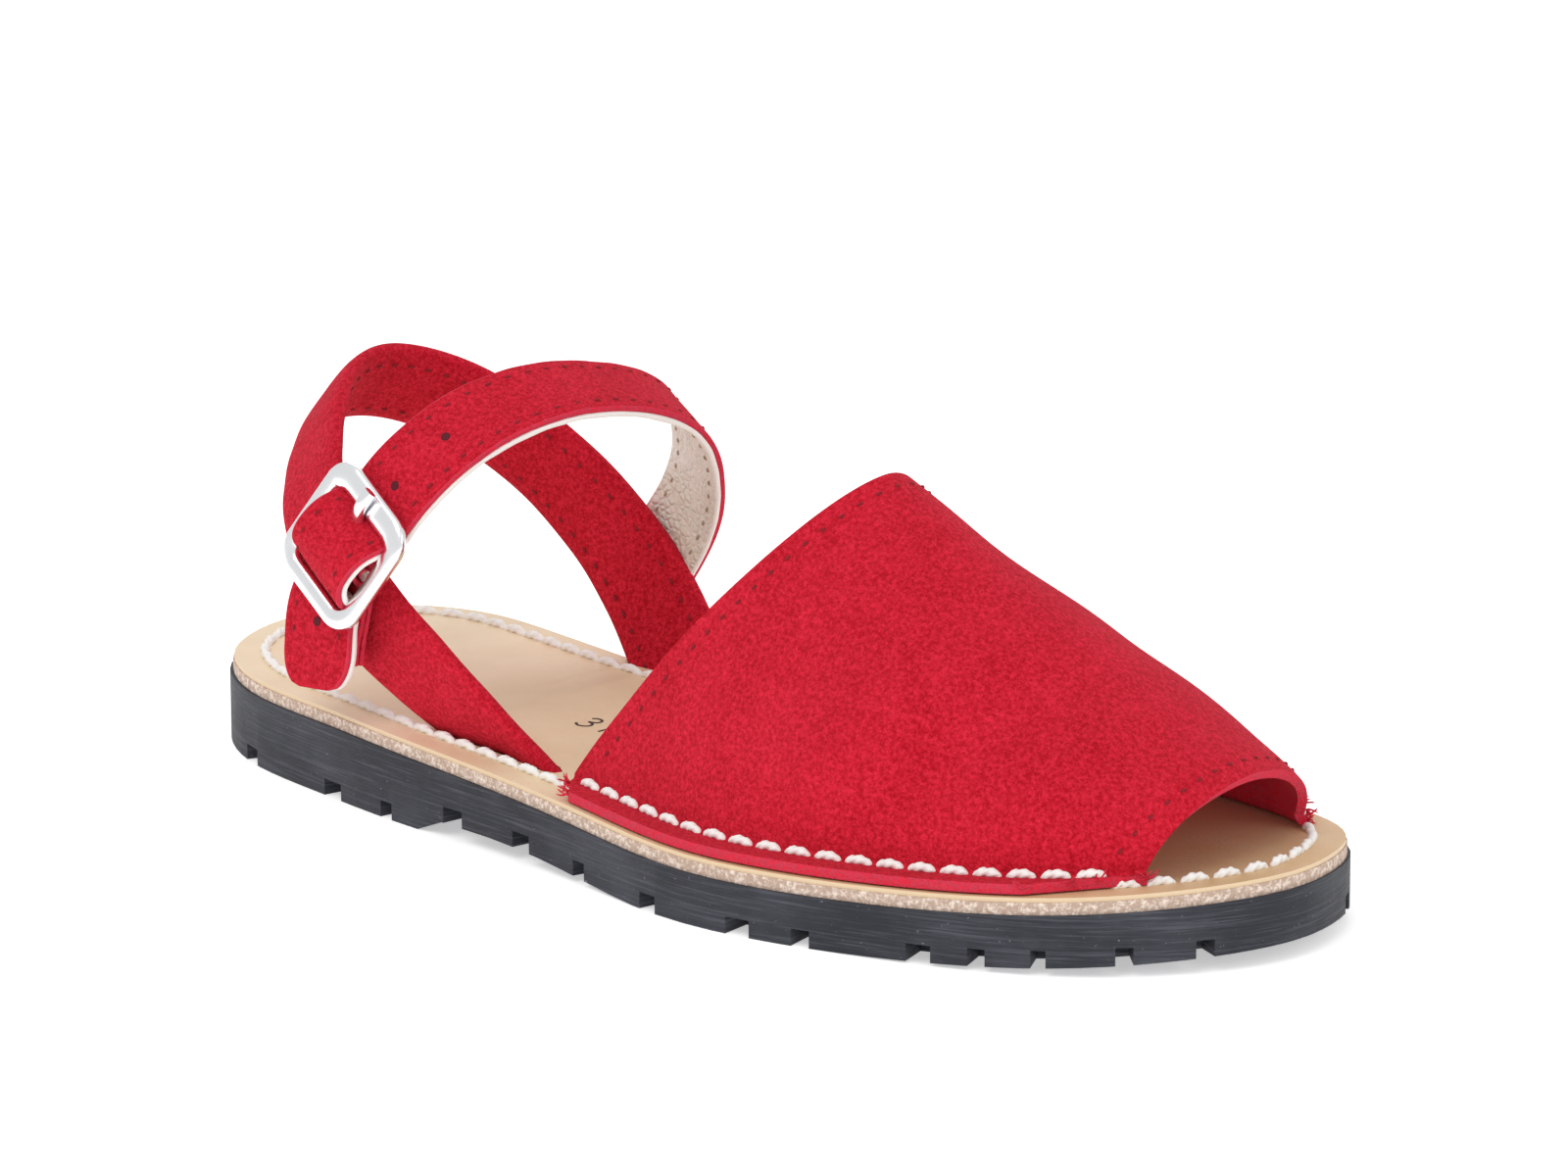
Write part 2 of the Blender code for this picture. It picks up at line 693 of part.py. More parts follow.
def build():
    clear_scene()
    parts = bpy.data.collections.new("avarca_sandal")
    cutters = bpy.data.collections.new("cutters")
    for made in (parts, cutters):
        bpy.context.scene.collection.children.link(made)
    rubber = material("rubber", (0.035, 0.040, 0.052), 0.55)
    fibre = material("fibre_board", (0.52, 0.40, 0.34), 0.90)
    leather = material("insole_leather", (0.62, 0.43, 0.24), 0.50)
    suede = material("red_suede", (0.56, 0.012, 0.035), 0.95)
    steel = material("buckle_metal", (0.80, 0.81, 0.83), 0.12, 1.0)

    outsole = plate("outsole", 0.0, rubber_bottom, rubber_top, parts, rubber)
    cut(outsole, lug_gap_cutters(cutters))
    board = plate("insole_board", BOARD_INSET, board_bottom, board_top, parts, fibre)
    cover = plate("insole", COVER_INSET, cover_bottom, cover_top, parts, leather)
    straps, slots = make_straps(parts, cutters, suede)
    cut(board, slots)
    cut(cover, slots)
    make_vamp(parts, suede)
    make_buckle(parts, cutters, steel)
    wire("buckle_prong", prong_path(), PRONG_WIRE, parts, steel)
    tab_section = flat_section(TAB_WIDTH, TAB_LEATHER)
    tab = sweep("buckle_tab", tab_rows(), tab_section, RIBBON_STEPS, parts, suede)
    cut(tab, prong_room("prong_gate", cutters))


build()
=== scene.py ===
"""Looks of a right avarca sandal: suede, stitched leather insole, abraded rubber and a bright buckle.

Metres, +Z up, toe to +X, big toe side to +Y, on the frame of the packed sandal.
"""

import bpy
import bmesh
import numpy as np
from mathutils import Matrix, Vector


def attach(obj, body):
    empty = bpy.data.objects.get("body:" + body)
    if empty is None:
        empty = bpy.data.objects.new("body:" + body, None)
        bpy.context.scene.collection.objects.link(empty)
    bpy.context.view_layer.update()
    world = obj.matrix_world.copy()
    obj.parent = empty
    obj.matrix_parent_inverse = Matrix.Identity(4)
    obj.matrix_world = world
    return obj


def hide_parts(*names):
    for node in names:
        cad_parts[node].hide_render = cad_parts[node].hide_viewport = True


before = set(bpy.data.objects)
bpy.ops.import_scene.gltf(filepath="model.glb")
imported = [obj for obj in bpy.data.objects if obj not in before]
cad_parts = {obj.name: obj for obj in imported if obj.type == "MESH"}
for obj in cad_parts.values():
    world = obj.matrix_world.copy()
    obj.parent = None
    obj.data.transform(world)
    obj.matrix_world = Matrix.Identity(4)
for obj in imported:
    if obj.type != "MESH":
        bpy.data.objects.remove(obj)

bl_info = {
    "name": "Avarca Sandal Looks",
    "version": (1, 0, 0),
    "blender": (4, 5, 0),
    "location": "View3D > Sidebar > Sandal",
    "description": "Builds the visible pieces and finishes of a right avarca sandal",
    "category": "Object",
}

# Outline of the sole: place along the length, half breadths as shares of the ball width
OUTLINE = [
    # along, lateral, medial
    (0.030, 0.152, 0.268),
    (0.060, 0.232, 0.326),
    (0.100, 0.293, 0.357),
    (0.150, 0.335, 0.354),
    (0.220, 0.368, 0.325),
    (0.300, 0.400, 0.302),
    (0.400, 0.422, 0.312),
    (0.500, 0.451, 0.358),
    (0.600, 0.494, 0.427),
    (0.680, 0.495, 0.478),
    (0.780, 0.436, 0.500),
    (0.850, 0.374, 0.477),
    (0.900, 0.309, 0.441),
    (0.940, 0.227, 0.391),
    (0.970, 0.131, 0.318),
    (0.990, 0.033, 0.218),
]
HEEL_TIP = 0.066
TOE_TIP = 0.090

# Vamp sections from throat to toe opening, as shares of the length and of the vamp's rise
VAMP_SECTIONS = [
    # lateral foot, medial foot, ridge, height, fullness, lateral flange, medial flange
    (0.483, 0.499, 0.663, 1.000, 1.74, 0.500, 0.514),
    (0.596, 0.607, 0.735, 0.818, 1.80, 0.596, 0.607),
    (0.708, 0.712, 0.805, 0.634, 1.84, 0.696, 0.700),
    (0.819, 0.816, 0.875, 0.438, 1.84, 0.792, 0.796),
    (0.930, 0.919, 0.948, 0.232, 1.80, 0.886, 0.890),
]

# Heel strap: shares of the length, the heel width and the strap's rise, and the way its face looks (degrees)
HEEL_STRAP = [
    # along, across, height, turn, tilt
    (0.423, -0.386, -0.132, -105, -37),
    (0.304, -0.506, 0.270, -89, -10),
    (0.211, -0.483, 0.598, -101, 13),
    (0.146, -0.293, 0.874, -122, 30),
    (0.111, -0.014, 1.005, -176, 39),
    (0.136, 0.260, 0.910, -232, 27),
    (0.207, 0.430, 0.642, -257, 7),
    (0.281, 0.486, 0.276, -255, -12),
    (0.354, 0.420, -0.136, -257, -33),
]

# Ankle strap from the buckle's side over the instep to the medial side, in the same shares
ANKLE_STRAP = [
    # along, across, height, turn, tilt
    (0.325, -0.356, 1.075, -65, 49),
    (0.348, -0.139, 1.163, -28, 67),
    (0.359, 0.104, 1.134, 25, 65),
    (0.358, 0.323, 1.021, 52, 44),
    (0.341, 0.468, 0.827, 66, 21),
    (0.313, 0.551, 0.600, 80, 2),
    (0.270, 0.542, 0.303, 102, -14),
]

# Free end of the ankle strap through the buckle: shares of the strap's width, the frame's height and,
# outwards, of the strap's height over the centre bar or of its depth under the frame
STRAP_TIP = [
    # across, along, outwards
    (0.620, -1.028, -1.36),
    (0.335, -0.760, -1.20),
    (0.057, -0.449, -1.08),
    (0.014, -0.371, -1.08),
    (0.000, -0.312, -0.50),
    (0.000, -0.254, 0.36),
    (0.000, -0.140, 0.96),
    (0.000, 0.000, 1.06),
    (0.000, 0.117, 0.85),
    (0.000, 0.215, 0.24),
    (0.000, 0.283, -0.50),
    (0.000, 0.361, -1.00),
    (0.000, 0.449, -1.08),
]
BAR_ROW = 7

# Prong: shares of half the frame's height and of the prong's height over the frame
PRONG_PATH = [
    # up, outwards
    (-0.02, -0.87),
    (0.18, -0.52),
    (0.36, -0.09),
    (0.55, 0.30),
    (0.78, 0.84),
    (1.00, 1.00),
    (1.20, 0.92),
]

# Middle of the folded tab: shares of the tab's width, the frame's height and the tab's depth under the strap
TAB_PATH = [
    # across, down, inwards
    (0.000, 0.150, 0.640),
    (0.020, 0.270, 0.930),
    (0.160, 0.440, 1.088),
    (0.340, 0.640, 1.140),
    (0.520, 0.820, 1.270),
]

# Soft creases of the vamp, as shares of its run from throat to toe and of its girth, and metres
VAMP_CREASES = [
    # run, girth, breadth along, breadth round, depth
    (0.30, 0.26, 0.10, 0.10, -0.0007),
    (0.46, 0.20, 0.08, 0.07, 0.0005),
    (0.62, 0.30, 0.07, 0.12, -0.0006),
    (0.78, 0.36, 0.05, 0.14, 0.0004),
    (0.20, 0.70, 0.09, 0.09, -0.0005),
    (0.55, 0.74, 0.08, 0.10, -0.0006),
    (0.86, 0.55, 0.05, 0.12, -0.0004),
]

# Strokes of the size number, as shares of its height
FIGURE_THREE = [
    # across, up
    (0.02, 0.86),
    (0.20, 0.99),
    (0.42, 0.93),
    (0.49, 0.76),
    (0.40, 0.59),
    (0.22, 0.52),
    (0.24, 0.515),
    (0.46, 0.43),
    (0.54, 0.24),
    (0.42, 0.05),
    (0.20, 0.00),
    (0.00, 0.13),
]
FIGURE_ONE = [
    # across, up
    (0.00, 0.78),
    (0.24, 0.99),
    (0.24, 0.00),
]

BUCKLE_ALONG = 0.268
BUCKLE_ACROSS = -0.618
BUCKLE_HEIGHT = 0.666
BUCKLE_TURN = -89
BUCKLE_TILT = 14
BUCKLE_LEAN = 33

RIBBON_STEPS = 260
VAMP_STEPS = 130
ARCH_STEPS = 150
FOLD_STEPS = 8
RING_STEPS = 300

CAMERA_TARGET = (0.16415, -0.1603, 0.0954)
CAMERA_DISTANCE = 0.8705
CAMERA_AZIMUTH = 43.83
CAMERA_ELEVATION = 14.18
CAMERA_ROLL = -0.15
CAMERA_LENS = 169.3


def length(name, value, text):
    return bpy.props.FloatProperty(name=name, default=value, description=text, unit="LENGTH", precision=5)


def share(name, value, text):
    return bpy.props.FloatProperty(name=name, default=value, description=text, precision=3)


def colour(name, value, text):
    return bpy.props.FloatVectorProperty(
        name=name, default=value, description=text, subtype="COLOR", size=3, min=0.0, max=1.0)


class SandalSizes(bpy.types.PropertyGroup):
    sole_length: length("Sole length", 0.210, "Heel to toe")
    ball_width: length("Ball width", 0.0818, "Across the ball")
    heel_width: length("Heel width", 0.056, "Across the heel, which the straps are placed by")
    rubber_heel: length("Rubber at the heel", 0.0112, "Height of the rubber under the heel")
    rubber_ball: length("Rubber at the ball", 0.0077, "Height of the rubber under the ball")
    toe_spring: length("Toe spring", 0.0028, "Rise of the sole at the toe")
    spring_start: share("Spring start", 0.714, "Where the toe spring begins")
    taper_start: share("Taper start", 0.21, "Where the rubber begins to thin")
    taper_end: share("Taper end", 0.66, "Where the rubber is thinnest")
    board: length("Board", 0.0012, "Thickness of the insole board")
    cover: length("Insole leather", 0.0007, "Thickness of the insole leather")
    gap: length("Gap", 0.0003, "Room between two layers")
    vamp_wall: length("Vamp wall", 0.0015, "Thickness of the vamp's suede")
    vamp_rise: length("Vamp rise", 0.050, "Height of the vamp's throat over the insole")
    flange_inset: length("Flange inset", 0.0074, "From the sole's edge to the vamp's fold")
    flange_rim: length("Flange rim", 0.0014, "From the sole's edge to the vamp's cut edge")
    fold_radius: length("Fold radius", 0.0022, "Bend between the flange and the wall")
    strap_rise: length("Strap rise", 0.044, "Height of the heel strap")
    strap_datum: share("Strap datum", 0.350, "Place along the sole that strap heights count from")
    heel_strap: length("Heel strap width", 0.0160, "Width of the folded heel strap")
    heel_strap_thick: length("Heel strap thickness", 0.0032, "Thickness of the folded heel strap")
    ankle_strap: length("Ankle strap width", 0.0140, "Width of the ankle strap")
    ankle_strap_thick: length("Ankle strap thickness", 0.0018, "Suede and lining together")
    tip_breadth: share("Tip breadth", 0.42, "Breadth of the strap's very end")
    frame_width: length("Frame width", 0.0197, "Buckle frame across the strap")
    frame_height: length("Frame height", 0.0205, "Buckle frame along the strap")
    frame_wire: length("Frame wire", 0.0012, "Half the thickness of the frame")
    plate_extra: length("Plate extra", 0.0006, "Half of what the frame's far bar is broader")
    frame_corner: length("Frame corner", 0.0034, "Radius of the frame's corners")
    bar_wire: length("Bar wire", 0.0009, "Half the thickness of the centre bar")
    prong_wire: length("Prong wire", 0.0008, "Half the thickness of the prong")
    tab_width: length("Tab width", 0.0120, "Width of the folded tab")
    tab_leather: length("Tab leather", 0.0008, "Thickness of one layer of the tab")
    tab_seam: length("Tab seam", 0.0003, "Room between the tab's layers")
    figure_height: length("Figure height", 0.0046, "Height of the size number's figures")
    stitch_inset: length("Stitch inset", 0.0056, "From the sole's edge to the white stitches")
    stitch_pitch: length("Stitch pitch", 0.0050, "From one white stitch to the next")
    stitch_radius: length("Stitch radius", 0.00066, "Half the thickness of the white thread")
    dash_pitch: length("Dash pitch", 0.0033, "From one fine red stitch to the next")
    hole_pitch: length("Hole pitch", 0.0103, "From one punched hole to the next")
    hole_radius: length("Hole radius", 0.00075, "Radius of a punched hole")


class SandalColours(bpy.types.PropertyGroup):
    suede: colour("Suede", (0.47, 0.003, 0.013), "Red suede, brushed down")
    nap: colour("Nap", (0.86, 0.025, 0.058), "Red suede, nap raised")
    # Also the tone of the painted sheen that pales the suede at grazing angles
    raw: colour("Raw edge", (0.60, 0.065, 0.11), "Cut edge of the suede")
    thread_red: colour("Red thread", (0.25, 0.002, 0.010), "Fine stitches")
    thread_white: colour("White thread", (0.97, 0.96, 0.93), "Sole stitches")
    thread_beige: colour("Beige thread", (0.42, 0.33, 0.24), "Stitches in the strap lining")
    # Painted shade: a dark colour for the shaded inside of a punched hole
    hole_shade: colour("Hole shade", (0.10, 0.004, 0.012), "Inside of a punched hole")
    ink: colour("Ink", (0.045, 0.022, 0.014), "Size number on the insole")
    lining: colour("Lining", (0.76, 0.71, 0.60), "Strap lining")
    lining_edge: colour("Lining edge", (0.93, 0.91, 0.87), "Cut edge of the lining")
    leather: colour("Insole leather", (0.90, 0.74, 0.53), "Insole at the heel")
    # Darker tone that the insole leather turns to towards the toe
    leather_dark: colour("Darker leather", (0.60, 0.36, 0.15), "Insole under the vamp")
    leather_edge: colour("Leather edge", (0.76, 0.58, 0.38), "Cut edge of the insole leather")
    board: colour("Board", (0.50, 0.36, 0.28), "Fibre board")
    speck: colour("Speck", (0.86, 0.72, 0.62), "Light fibres of the board")
    rubber: colour("Rubber", (0.008, 0.010, 0.018), "Blue-black rubber")
    dust: colour("Dust", (0.22, 0.23, 0.28), "Abraded and dusty rubber")
    metal: colour("Buckle", (0.97, 0.98, 1.00), "Bright plating")


def sizes():
    return bpy.context.scene.sandal_sizes


def hue(name):
    return (*getattr(bpy.context.scene.sandal_colours, name), 1.0)


def spline(knots, values, places, closed=False):
    """Cubic spline through rows of values; closed joins the last row to the first."""
    knots = np.asarray(knots, float)
    values = np.asarray(values, float)
    steps = np.diff(knots)
    n = len(values) - 1 if closed else len(values)
    system = np.zeros((n, n))
    slopes = np.zeros((n, values.shape[1]))
    rises = np.diff(values, axis=0) / steps[:, None]
    for i in range(n):
        if not closed and i in (0, n - 1):
            system[i, i] = 1.0
            continue
        before, after = steps[i - 1], steps[i]
        system[i, (i - 1) % n] += before
        system[i, i] += 2 * (before + after)
        system[i, (i + 1) % n] += after
        slopes[i] = 6 * (rises[i] - rises[i - 1])
    bends = np.linalg.solve(system, slopes)
    if closed:
        bends = np.vstack([bends, bends[:1]])
    cell = np.clip(np.searchsorted(knots, places, side="right") - 1, 0, len(steps) - 1)
    width = steps[cell][:, None]
    right = (np.asarray(places)[:, None] - knots[cell][:, None]) / width
    left = 1 - right
    curve = left * values[cell] + right * values[cell + 1]
    return curve + ((left ** 3 - left) * bends[cell] + (right ** 3 - right) * bends[cell + 1]) * width ** 2 / 6


def chords(points, power=1.0):
    spans = np.linalg.norm(np.diff(points, axis=0), axis=1) ** power
    return np.concatenate([[0.0], np.cumsum(spans)])


def unit(vectors):
    return vectors / np.linalg.norm(vectors, axis=-1, keepdims=True)


def ripple(points, wave, seed):
    """Smooth wandering value between about -1 and 1 over places."""
    chance = np.random.default_rng(seed)
    total = np.zeros(points.shape[:-1])
    for _ in range(7):
        way = unit(chance.normal(size=3))
        total += np.sin(points @ way * 2 * np.pi / wave / chance.uniform(0.6, 1.7) + chance.uniform(0, 6.28))
    return total / 4


def along_to_x(value):
    return (value - 0.5) * sizes().sole_length


def smooth_step(value):
    value = np.clip(value, 0.0, 1.0)
    return value * value * (3 - 2 * value)


def insole_top(x):
    """Height of the insole's upper face along the sole."""
    s = sizes()
    x = np.asarray(x)
    taper = (x - along_to_x(s.taper_start)) / (s.sole_length * (s.taper_end - s.taper_start))
    rise = np.clip((x - along_to_x(s.spring_start)) / (s.sole_length * (1 - s.spring_start)), 0.0, None)
    rubber = s.rubber_heel + (s.rubber_ball - s.rubber_heel) * smooth_step(taper) + s.toe_spring * rise ** 2
    return rubber + s.board + s.cover + 2 * s.gap


def outline(inset=0.0):
    s = sizes()
    lateral = [(along_to_x(row[0]), -row[1] * s.ball_width) for row in OUTLINE]
    medial = [(along_to_x(row[0]), row[2] * s.ball_width) for row in OUTLINE]
    heel = [(along_to_x(0.0), HEEL_TIP * s.ball_width)]
    toe = [(along_to_x(1.0), TOE_TIP * s.ball_width)]
    points = np.array(heel + lateral + toe + medial[::-1] + heel)
    knots = chords(points, 0.5)
    curve = spline(knots, points, np.linspace(0.0, knots[-1], 1201), closed=True)[:-1]
    tangent = unit(np.roll(curve, -1, axis=0) - np.roll(curve, 1, axis=0))
    normal = np.column_stack([tangent[:, 1], -tangent[:, 0]])
    return curve - normal * inset, normal


def edge_point(x, side, inset=0.0):
    curve, normal = outline(inset)
    rows = np.column_stack([curve, normal])
    rows = np.roll(rows, -curve[:, 0].argmin(), axis=0)
    toe = rows[:, 0].argmax()
    half = rows[:toe + 1] if side < 0 else rows[toe:][::-1]
    found = np.array([np.interp(x, half[:, 0], half[:, k]) for k in (1, 2, 3)])
    return np.array([x, found[0]]), unit(found[1:])


def face_way(turn, tilt):
    turn, tilt = np.radians(turn), np.radians(tilt)
    return np.array([np.cos(tilt) * np.cos(turn), np.cos(tilt) * np.sin(turn), np.sin(tilt)])


def strap_base():
    return float(insole_top(along_to_x(sizes().strap_datum))) - sizes().gap


def strap_rows(table):
    s = sizes()
    rows = []
    for along, across, height, turn, tilt in table:
        place = (along_to_x(along), across * s.heel_width, strap_base() + height * s.strap_rise)
        rows.append((*place, *face_way(turn, tilt)))
    return np.array(rows)


def buckle_axes():
    s = sizes()
    centre = np.array([along_to_x(BUCKLE_ALONG), BUCKLE_ACROSS * s.heel_width, 0.0])
    centre[2] = strap_base() + BUCKLE_HEIGHT * s.strap_rise
    out = face_way(BUCKLE_TURN, BUCKLE_TILT)
    level = unit(np.cross([0.0, 0.0, 1.0], out))
    upright = np.cross(out, level)
    lean = np.radians(BUCKLE_LEAN)
    up = np.cos(lean) * upright + np.sin(lean) * level
    across = np.cos(lean) * level - np.sin(lean) * upright
    return centre, across, up, out


def buckle_place(across, up, out):
    centre, way_across, way_up, way_out = buckle_axes()
    return centre + across * way_across + up * way_up + out * way_out


def strap_depth():
    s = sizes()
    return s.frame_wire + s.gap + s.ankle_strap_thick / 2


def tip_rows():
    s = sizes()
    over = s.bar_wire + 2 * s.gap + s.tab_leather + s.ankle_strap_thick / 2
    face = buckle_axes()[3]
    rows = []
    for across, along, outwards in STRAP_TIP:
        out = outwards * (over if outwards > 0.0 else strap_depth())
        rows.append((*buckle_place(across * s.ankle_strap, along * s.frame_height, out), *face))
    return np.array(rows)


def sweep_frames(rows, steps):
    """Centre, tangent, face way, width way and run along a smooth path through rows of places and face ways."""
    knots = chords(rows[:, :3])
    path = spline(knots, rows, np.linspace(0.0, knots[-1], steps + 1))
    centre = path[:, :3]
    tangent = unit(np.gradient(centre, axis=0))
    face = path[:, 3:]
    face = unit(face - (face * tangent).sum(axis=1)[:, None] * tangent)
    return centre, tangent, face, np.cross(face, tangent), chords(centre)


def grid_faces(rows, columns, closed=False, start=0, flip=False):
    """Quads of a grid of points; closed joins the last column to the first."""
    faces = []
    for i in range(rows - 1):
        for j in range(columns if closed else columns - 1):
            k = (j + 1) % columns
            quad = (i * columns + j, i * columns + k, (i + 1) * columns + k, (i + 1) * columns + j)
            quad = quad[::-1] if flip else quad
            faces.append(tuple(start + v for v in quad))
    return faces


def add_piece(name, verts, faces, finishes, node=None, indices=None, smooth=True, sharp=0.9):
    mesh = bpy.data.meshes.new(name)
    mesh.from_pydata(np.asarray(verts).tolist(), [], faces)
    for finish in finishes:
        mesh.materials.append(finish)
    if indices is not None:
        mesh.polygons.foreach_set("material_index", np.asarray(indices, dtype=np.int32))
    shape = bmesh.new()
    shape.from_mesh(mesh)
    bmesh.ops.recalc_face_normals(shape, faces=shape.faces)
    shape.to_mesh(mesh)
    shape.free()
    if smooth:
        mesh.shade_smooth()
        mesh.set_sharp_from_angle(angle=sharp)
    made = bpy.data.objects.new(name, mesh)
    bpy.context.scene.collection.objects.link(made)
    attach(made, "root")
    if node is not None:
        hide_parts(node)
    return made


def sweep(name, frames, section, finishes, node=None, marks=None, taper=None, relief=None):
    """Body of one closed section carried along frames; marks gives each side of the section its finish."""
    centre, _, face, width, _ = frames
    count, size = len(centre), len(section)
    breadth = np.ones(count) if taper is None else taper
    across = section[None, :, 0] * breadth[:, None]
    out = np.broadcast_to(section[None, :, 1], across.shape).copy()
    points = centre[:, None] + across[..., None] * width[:, None] + out[..., None] * face[:, None]
    if relief is not None:
        points += (relief(points) * np.sign(section[None, :, 1]))[..., None] * face[:, None]
    points[..., 2] = np.maximum(points[..., 2], insole_top(points[..., 0]) - sizes().gap)
    faces = grid_faces(count, size, closed=True)
    faces += [tuple(range(size))[::-1], tuple(range((count - 1) * size, count * size))]
    indices = None
    if marks is not None:
        indices = list(marks) * (count - 1) + [marks[0], marks[0]]
    return add_piece(name, points.reshape(-1, 3), faces, finishes, node, indices)


def rounded_section(width, thick, offset=0.0, corner=0.35, steps=4, flat=8):
    """Strip with round corners: points across its width and outwards, and a mark per side: 0 face, 1 edge, 2 back."""
    r = thick * corner
    corners = [(1, 1, 0), (-1, 1, 90), (-1, -1, 180), (1, -1, 270)]
    points, marks = [], []
    for number, (side, end, start) in enumerate(corners):
        for angle in np.radians(start + np.linspace(0, 90, steps)):
            x = side * (width / 2 - r) + r * np.cos(angle)
            y = end * (thick / 2 - r) + r * np.sin(angle)
            points.append((x, y + offset))
        marks += [1] * (steps - 1)
        following = corners[(number + 1) % 4]
        if number in (0, 2):
            last = points[-1]
            ahead = following[0] * (width / 2 - r)
            for step in range(1, flat):
                points.append((last[0] + (ahead - last[0]) * step / flat, last[1]))
            marks += [0 if number == 0 else 2] * flat
        else:
            marks += [1]
    return np.array(points), marks


def padded_section(width, thick, fullness=2.9, count=40):
    angles = np.arange(count) * 2 * np.pi / count
    across = np.sign(np.cos(angles)) * np.abs(np.cos(angles)) ** (2 / fullness) * width / 2
    out = np.sign(np.sin(angles)) * np.abs(np.sin(angles)) ** (2 / fullness) * thick / 2
    return np.column_stack([across, out])


def stitches(name, places, ways, ups, spans, radius, finish, bow, twist=0.0, sides=8, rings=7):
    """Thread lying in separate stitches, each sunk at both its ends; twist lays strands round it."""
    t = np.linspace(-1.0, 1.0, rings)
    angles = np.arange(sides) * 2 * np.pi / sides
    verts, faces = [], []
    for number, (place, way, up, span) in enumerate(zip(places, ways, ups, spans)):
        side = unit(np.cross(up, way))
        thick = radius * np.sqrt(np.clip(1 - np.abs(t) ** 3.5, 0.02, 1.0))
        lift = bow * (1 - t ** 2) - bow * 0.5
        strand = 1 + twist * np.sin(3 * angles[None, :] + 9.0 * t[:, None] + number)
        r = thick[:, None] * strand
        spot = place + t[:, None, None] * way * span / 2 + lift[:, None, None] * up
        spot = spot + r[..., None] * (np.cos(angles)[None, :, None] * side + np.sin(angles)[None, :, None] * up)
        start = len(verts)
        verts += spot.reshape(-1, 3).tolist()
        faces += grid_faces(rings, sides, closed=True, start=start)
        faces.append(tuple(start + k for k in range(sides))[::-1])
        faces.append(tuple(start + (rings - 1) * sides + k for k in range(sides)))
    return add_piece(name, verts, faces, [finish], sharp=3.0)


def row_of_dashes(frames, across, out, pitch, start=0.0, end=0.0, phase=0.5):
    """Places, ways and ups of stitches at even steps along a strap."""
    centre, tangent, face, width, run = frames
    spots = np.arange(start + pitch * phase, run[-1] - end, pitch)
    def at(values):
        return np.column_stack([np.interp(spots, run, values[:, k]) for k in range(3)])
    place = at(centre + across * width + out * face)
    return place, unit(at(tangent)), unit(at(face))


def tube(name, points, radius, finish, node=None, cyclic=False, flat=1.0, up=None, sides=16):
    """Bar along points; flat widens it square to up, everywhere alike or with a value for each point."""
    points = np.asarray(points, float)
    if cyclic:
        tangent = unit(np.roll(points, -1, axis=0) - np.roll(points, 1, axis=0))
    else:
        tangent = unit(np.gradient(points, axis=0))
    up = np.array([0.0, 0.0, 1.0]) if up is None else up
    side = unit(np.cross(tangent, up))
    lift = np.cross(side, tangent)
    angles = np.arange(sides) * 2 * np.pi / sides
    cos = np.sign(np.cos(angles)) * np.abs(np.cos(angles)) ** 0.8
    sin = np.sign(np.sin(angles)) * np.abs(np.sin(angles)) ** 0.8
    wide = np.broadcast_to(flat, len(points))[:, None] * cos[None, :]
    verts = points[:, None] + radius * (wide[..., None] * side[:, None] + sin[None, :, None] * lift[:, None])
    count = len(points)
    faces = grid_faces(count, sides, closed=True)
    if cyclic:
        last = (count - 1) * sides
        faces += [(last + j, last + (j + 1) % sides, (j + 1) % sides, j) for j in range(sides)]
    else:
        faces += [tuple(range(sides))[::-1], tuple(range((count - 1) * sides, count * sides))]
    return add_piece(name, verts.reshape(-1, 3), faces, [finish], node, sharp=1.2)


def vamp_section(row):
    """Inner face of the vamp at one section: flange, fold, arch over the foot, fold, flange."""
    s = sizes()
    lateral_foot, medial_foot, ridge, height, fullness, lateral_flange, medial_flange = row
    ends = []
    for side, foot, flange in ((-1, lateral_foot, lateral_flange), (1, medial_foot, medial_flange)):
        x = along_to_x(foot)
        base, normal = edge_point(x, side, s.flange_inset)
        rim, _ = edge_point(along_to_x(flange), side, s.flange_rim)
        level = float(insole_top(x)) + s.gap
        start = base + normal * s.fold_radius
        points = []
        for part in np.linspace(0.0, 1.0, 6)[:-1]:
            spot = rim + (start - rim) * part
            points.append((*spot, float(insole_top(spot[0])) + s.gap))
        for angle in np.radians(np.linspace(0.0, 80.0, FOLD_STEPS)):
            spot = start - normal * s.fold_radius * np.sin(angle)
            points.append((*spot, level + s.fold_radius * (1 - np.cos(angle))))
        ends.append((points, np.array([*base, level + s.fold_radius])))
    foot_a, foot_b = ends[0][1], ends[1][1]
    middle = (foot_a + foot_b) / 2
    x = along_to_x(ridge)
    top = np.array([x, middle[1], float(insole_top(x)) + height * s.vamp_rise])
    angles = np.linspace(0.0, np.pi, ARCH_STEPS + 1)
    out = np.sign(np.cos(angles)) * np.abs(np.cos(angles)) ** (2 / fullness)
    up = np.abs(np.sin(angles)) ** (2 / fullness)
    arch = [middle + o * (foot_a - middle) + u * (top - middle) for o, u in zip(out, up)]
    return np.array(ends[0][0] + arch + ends[1][0][::-1])


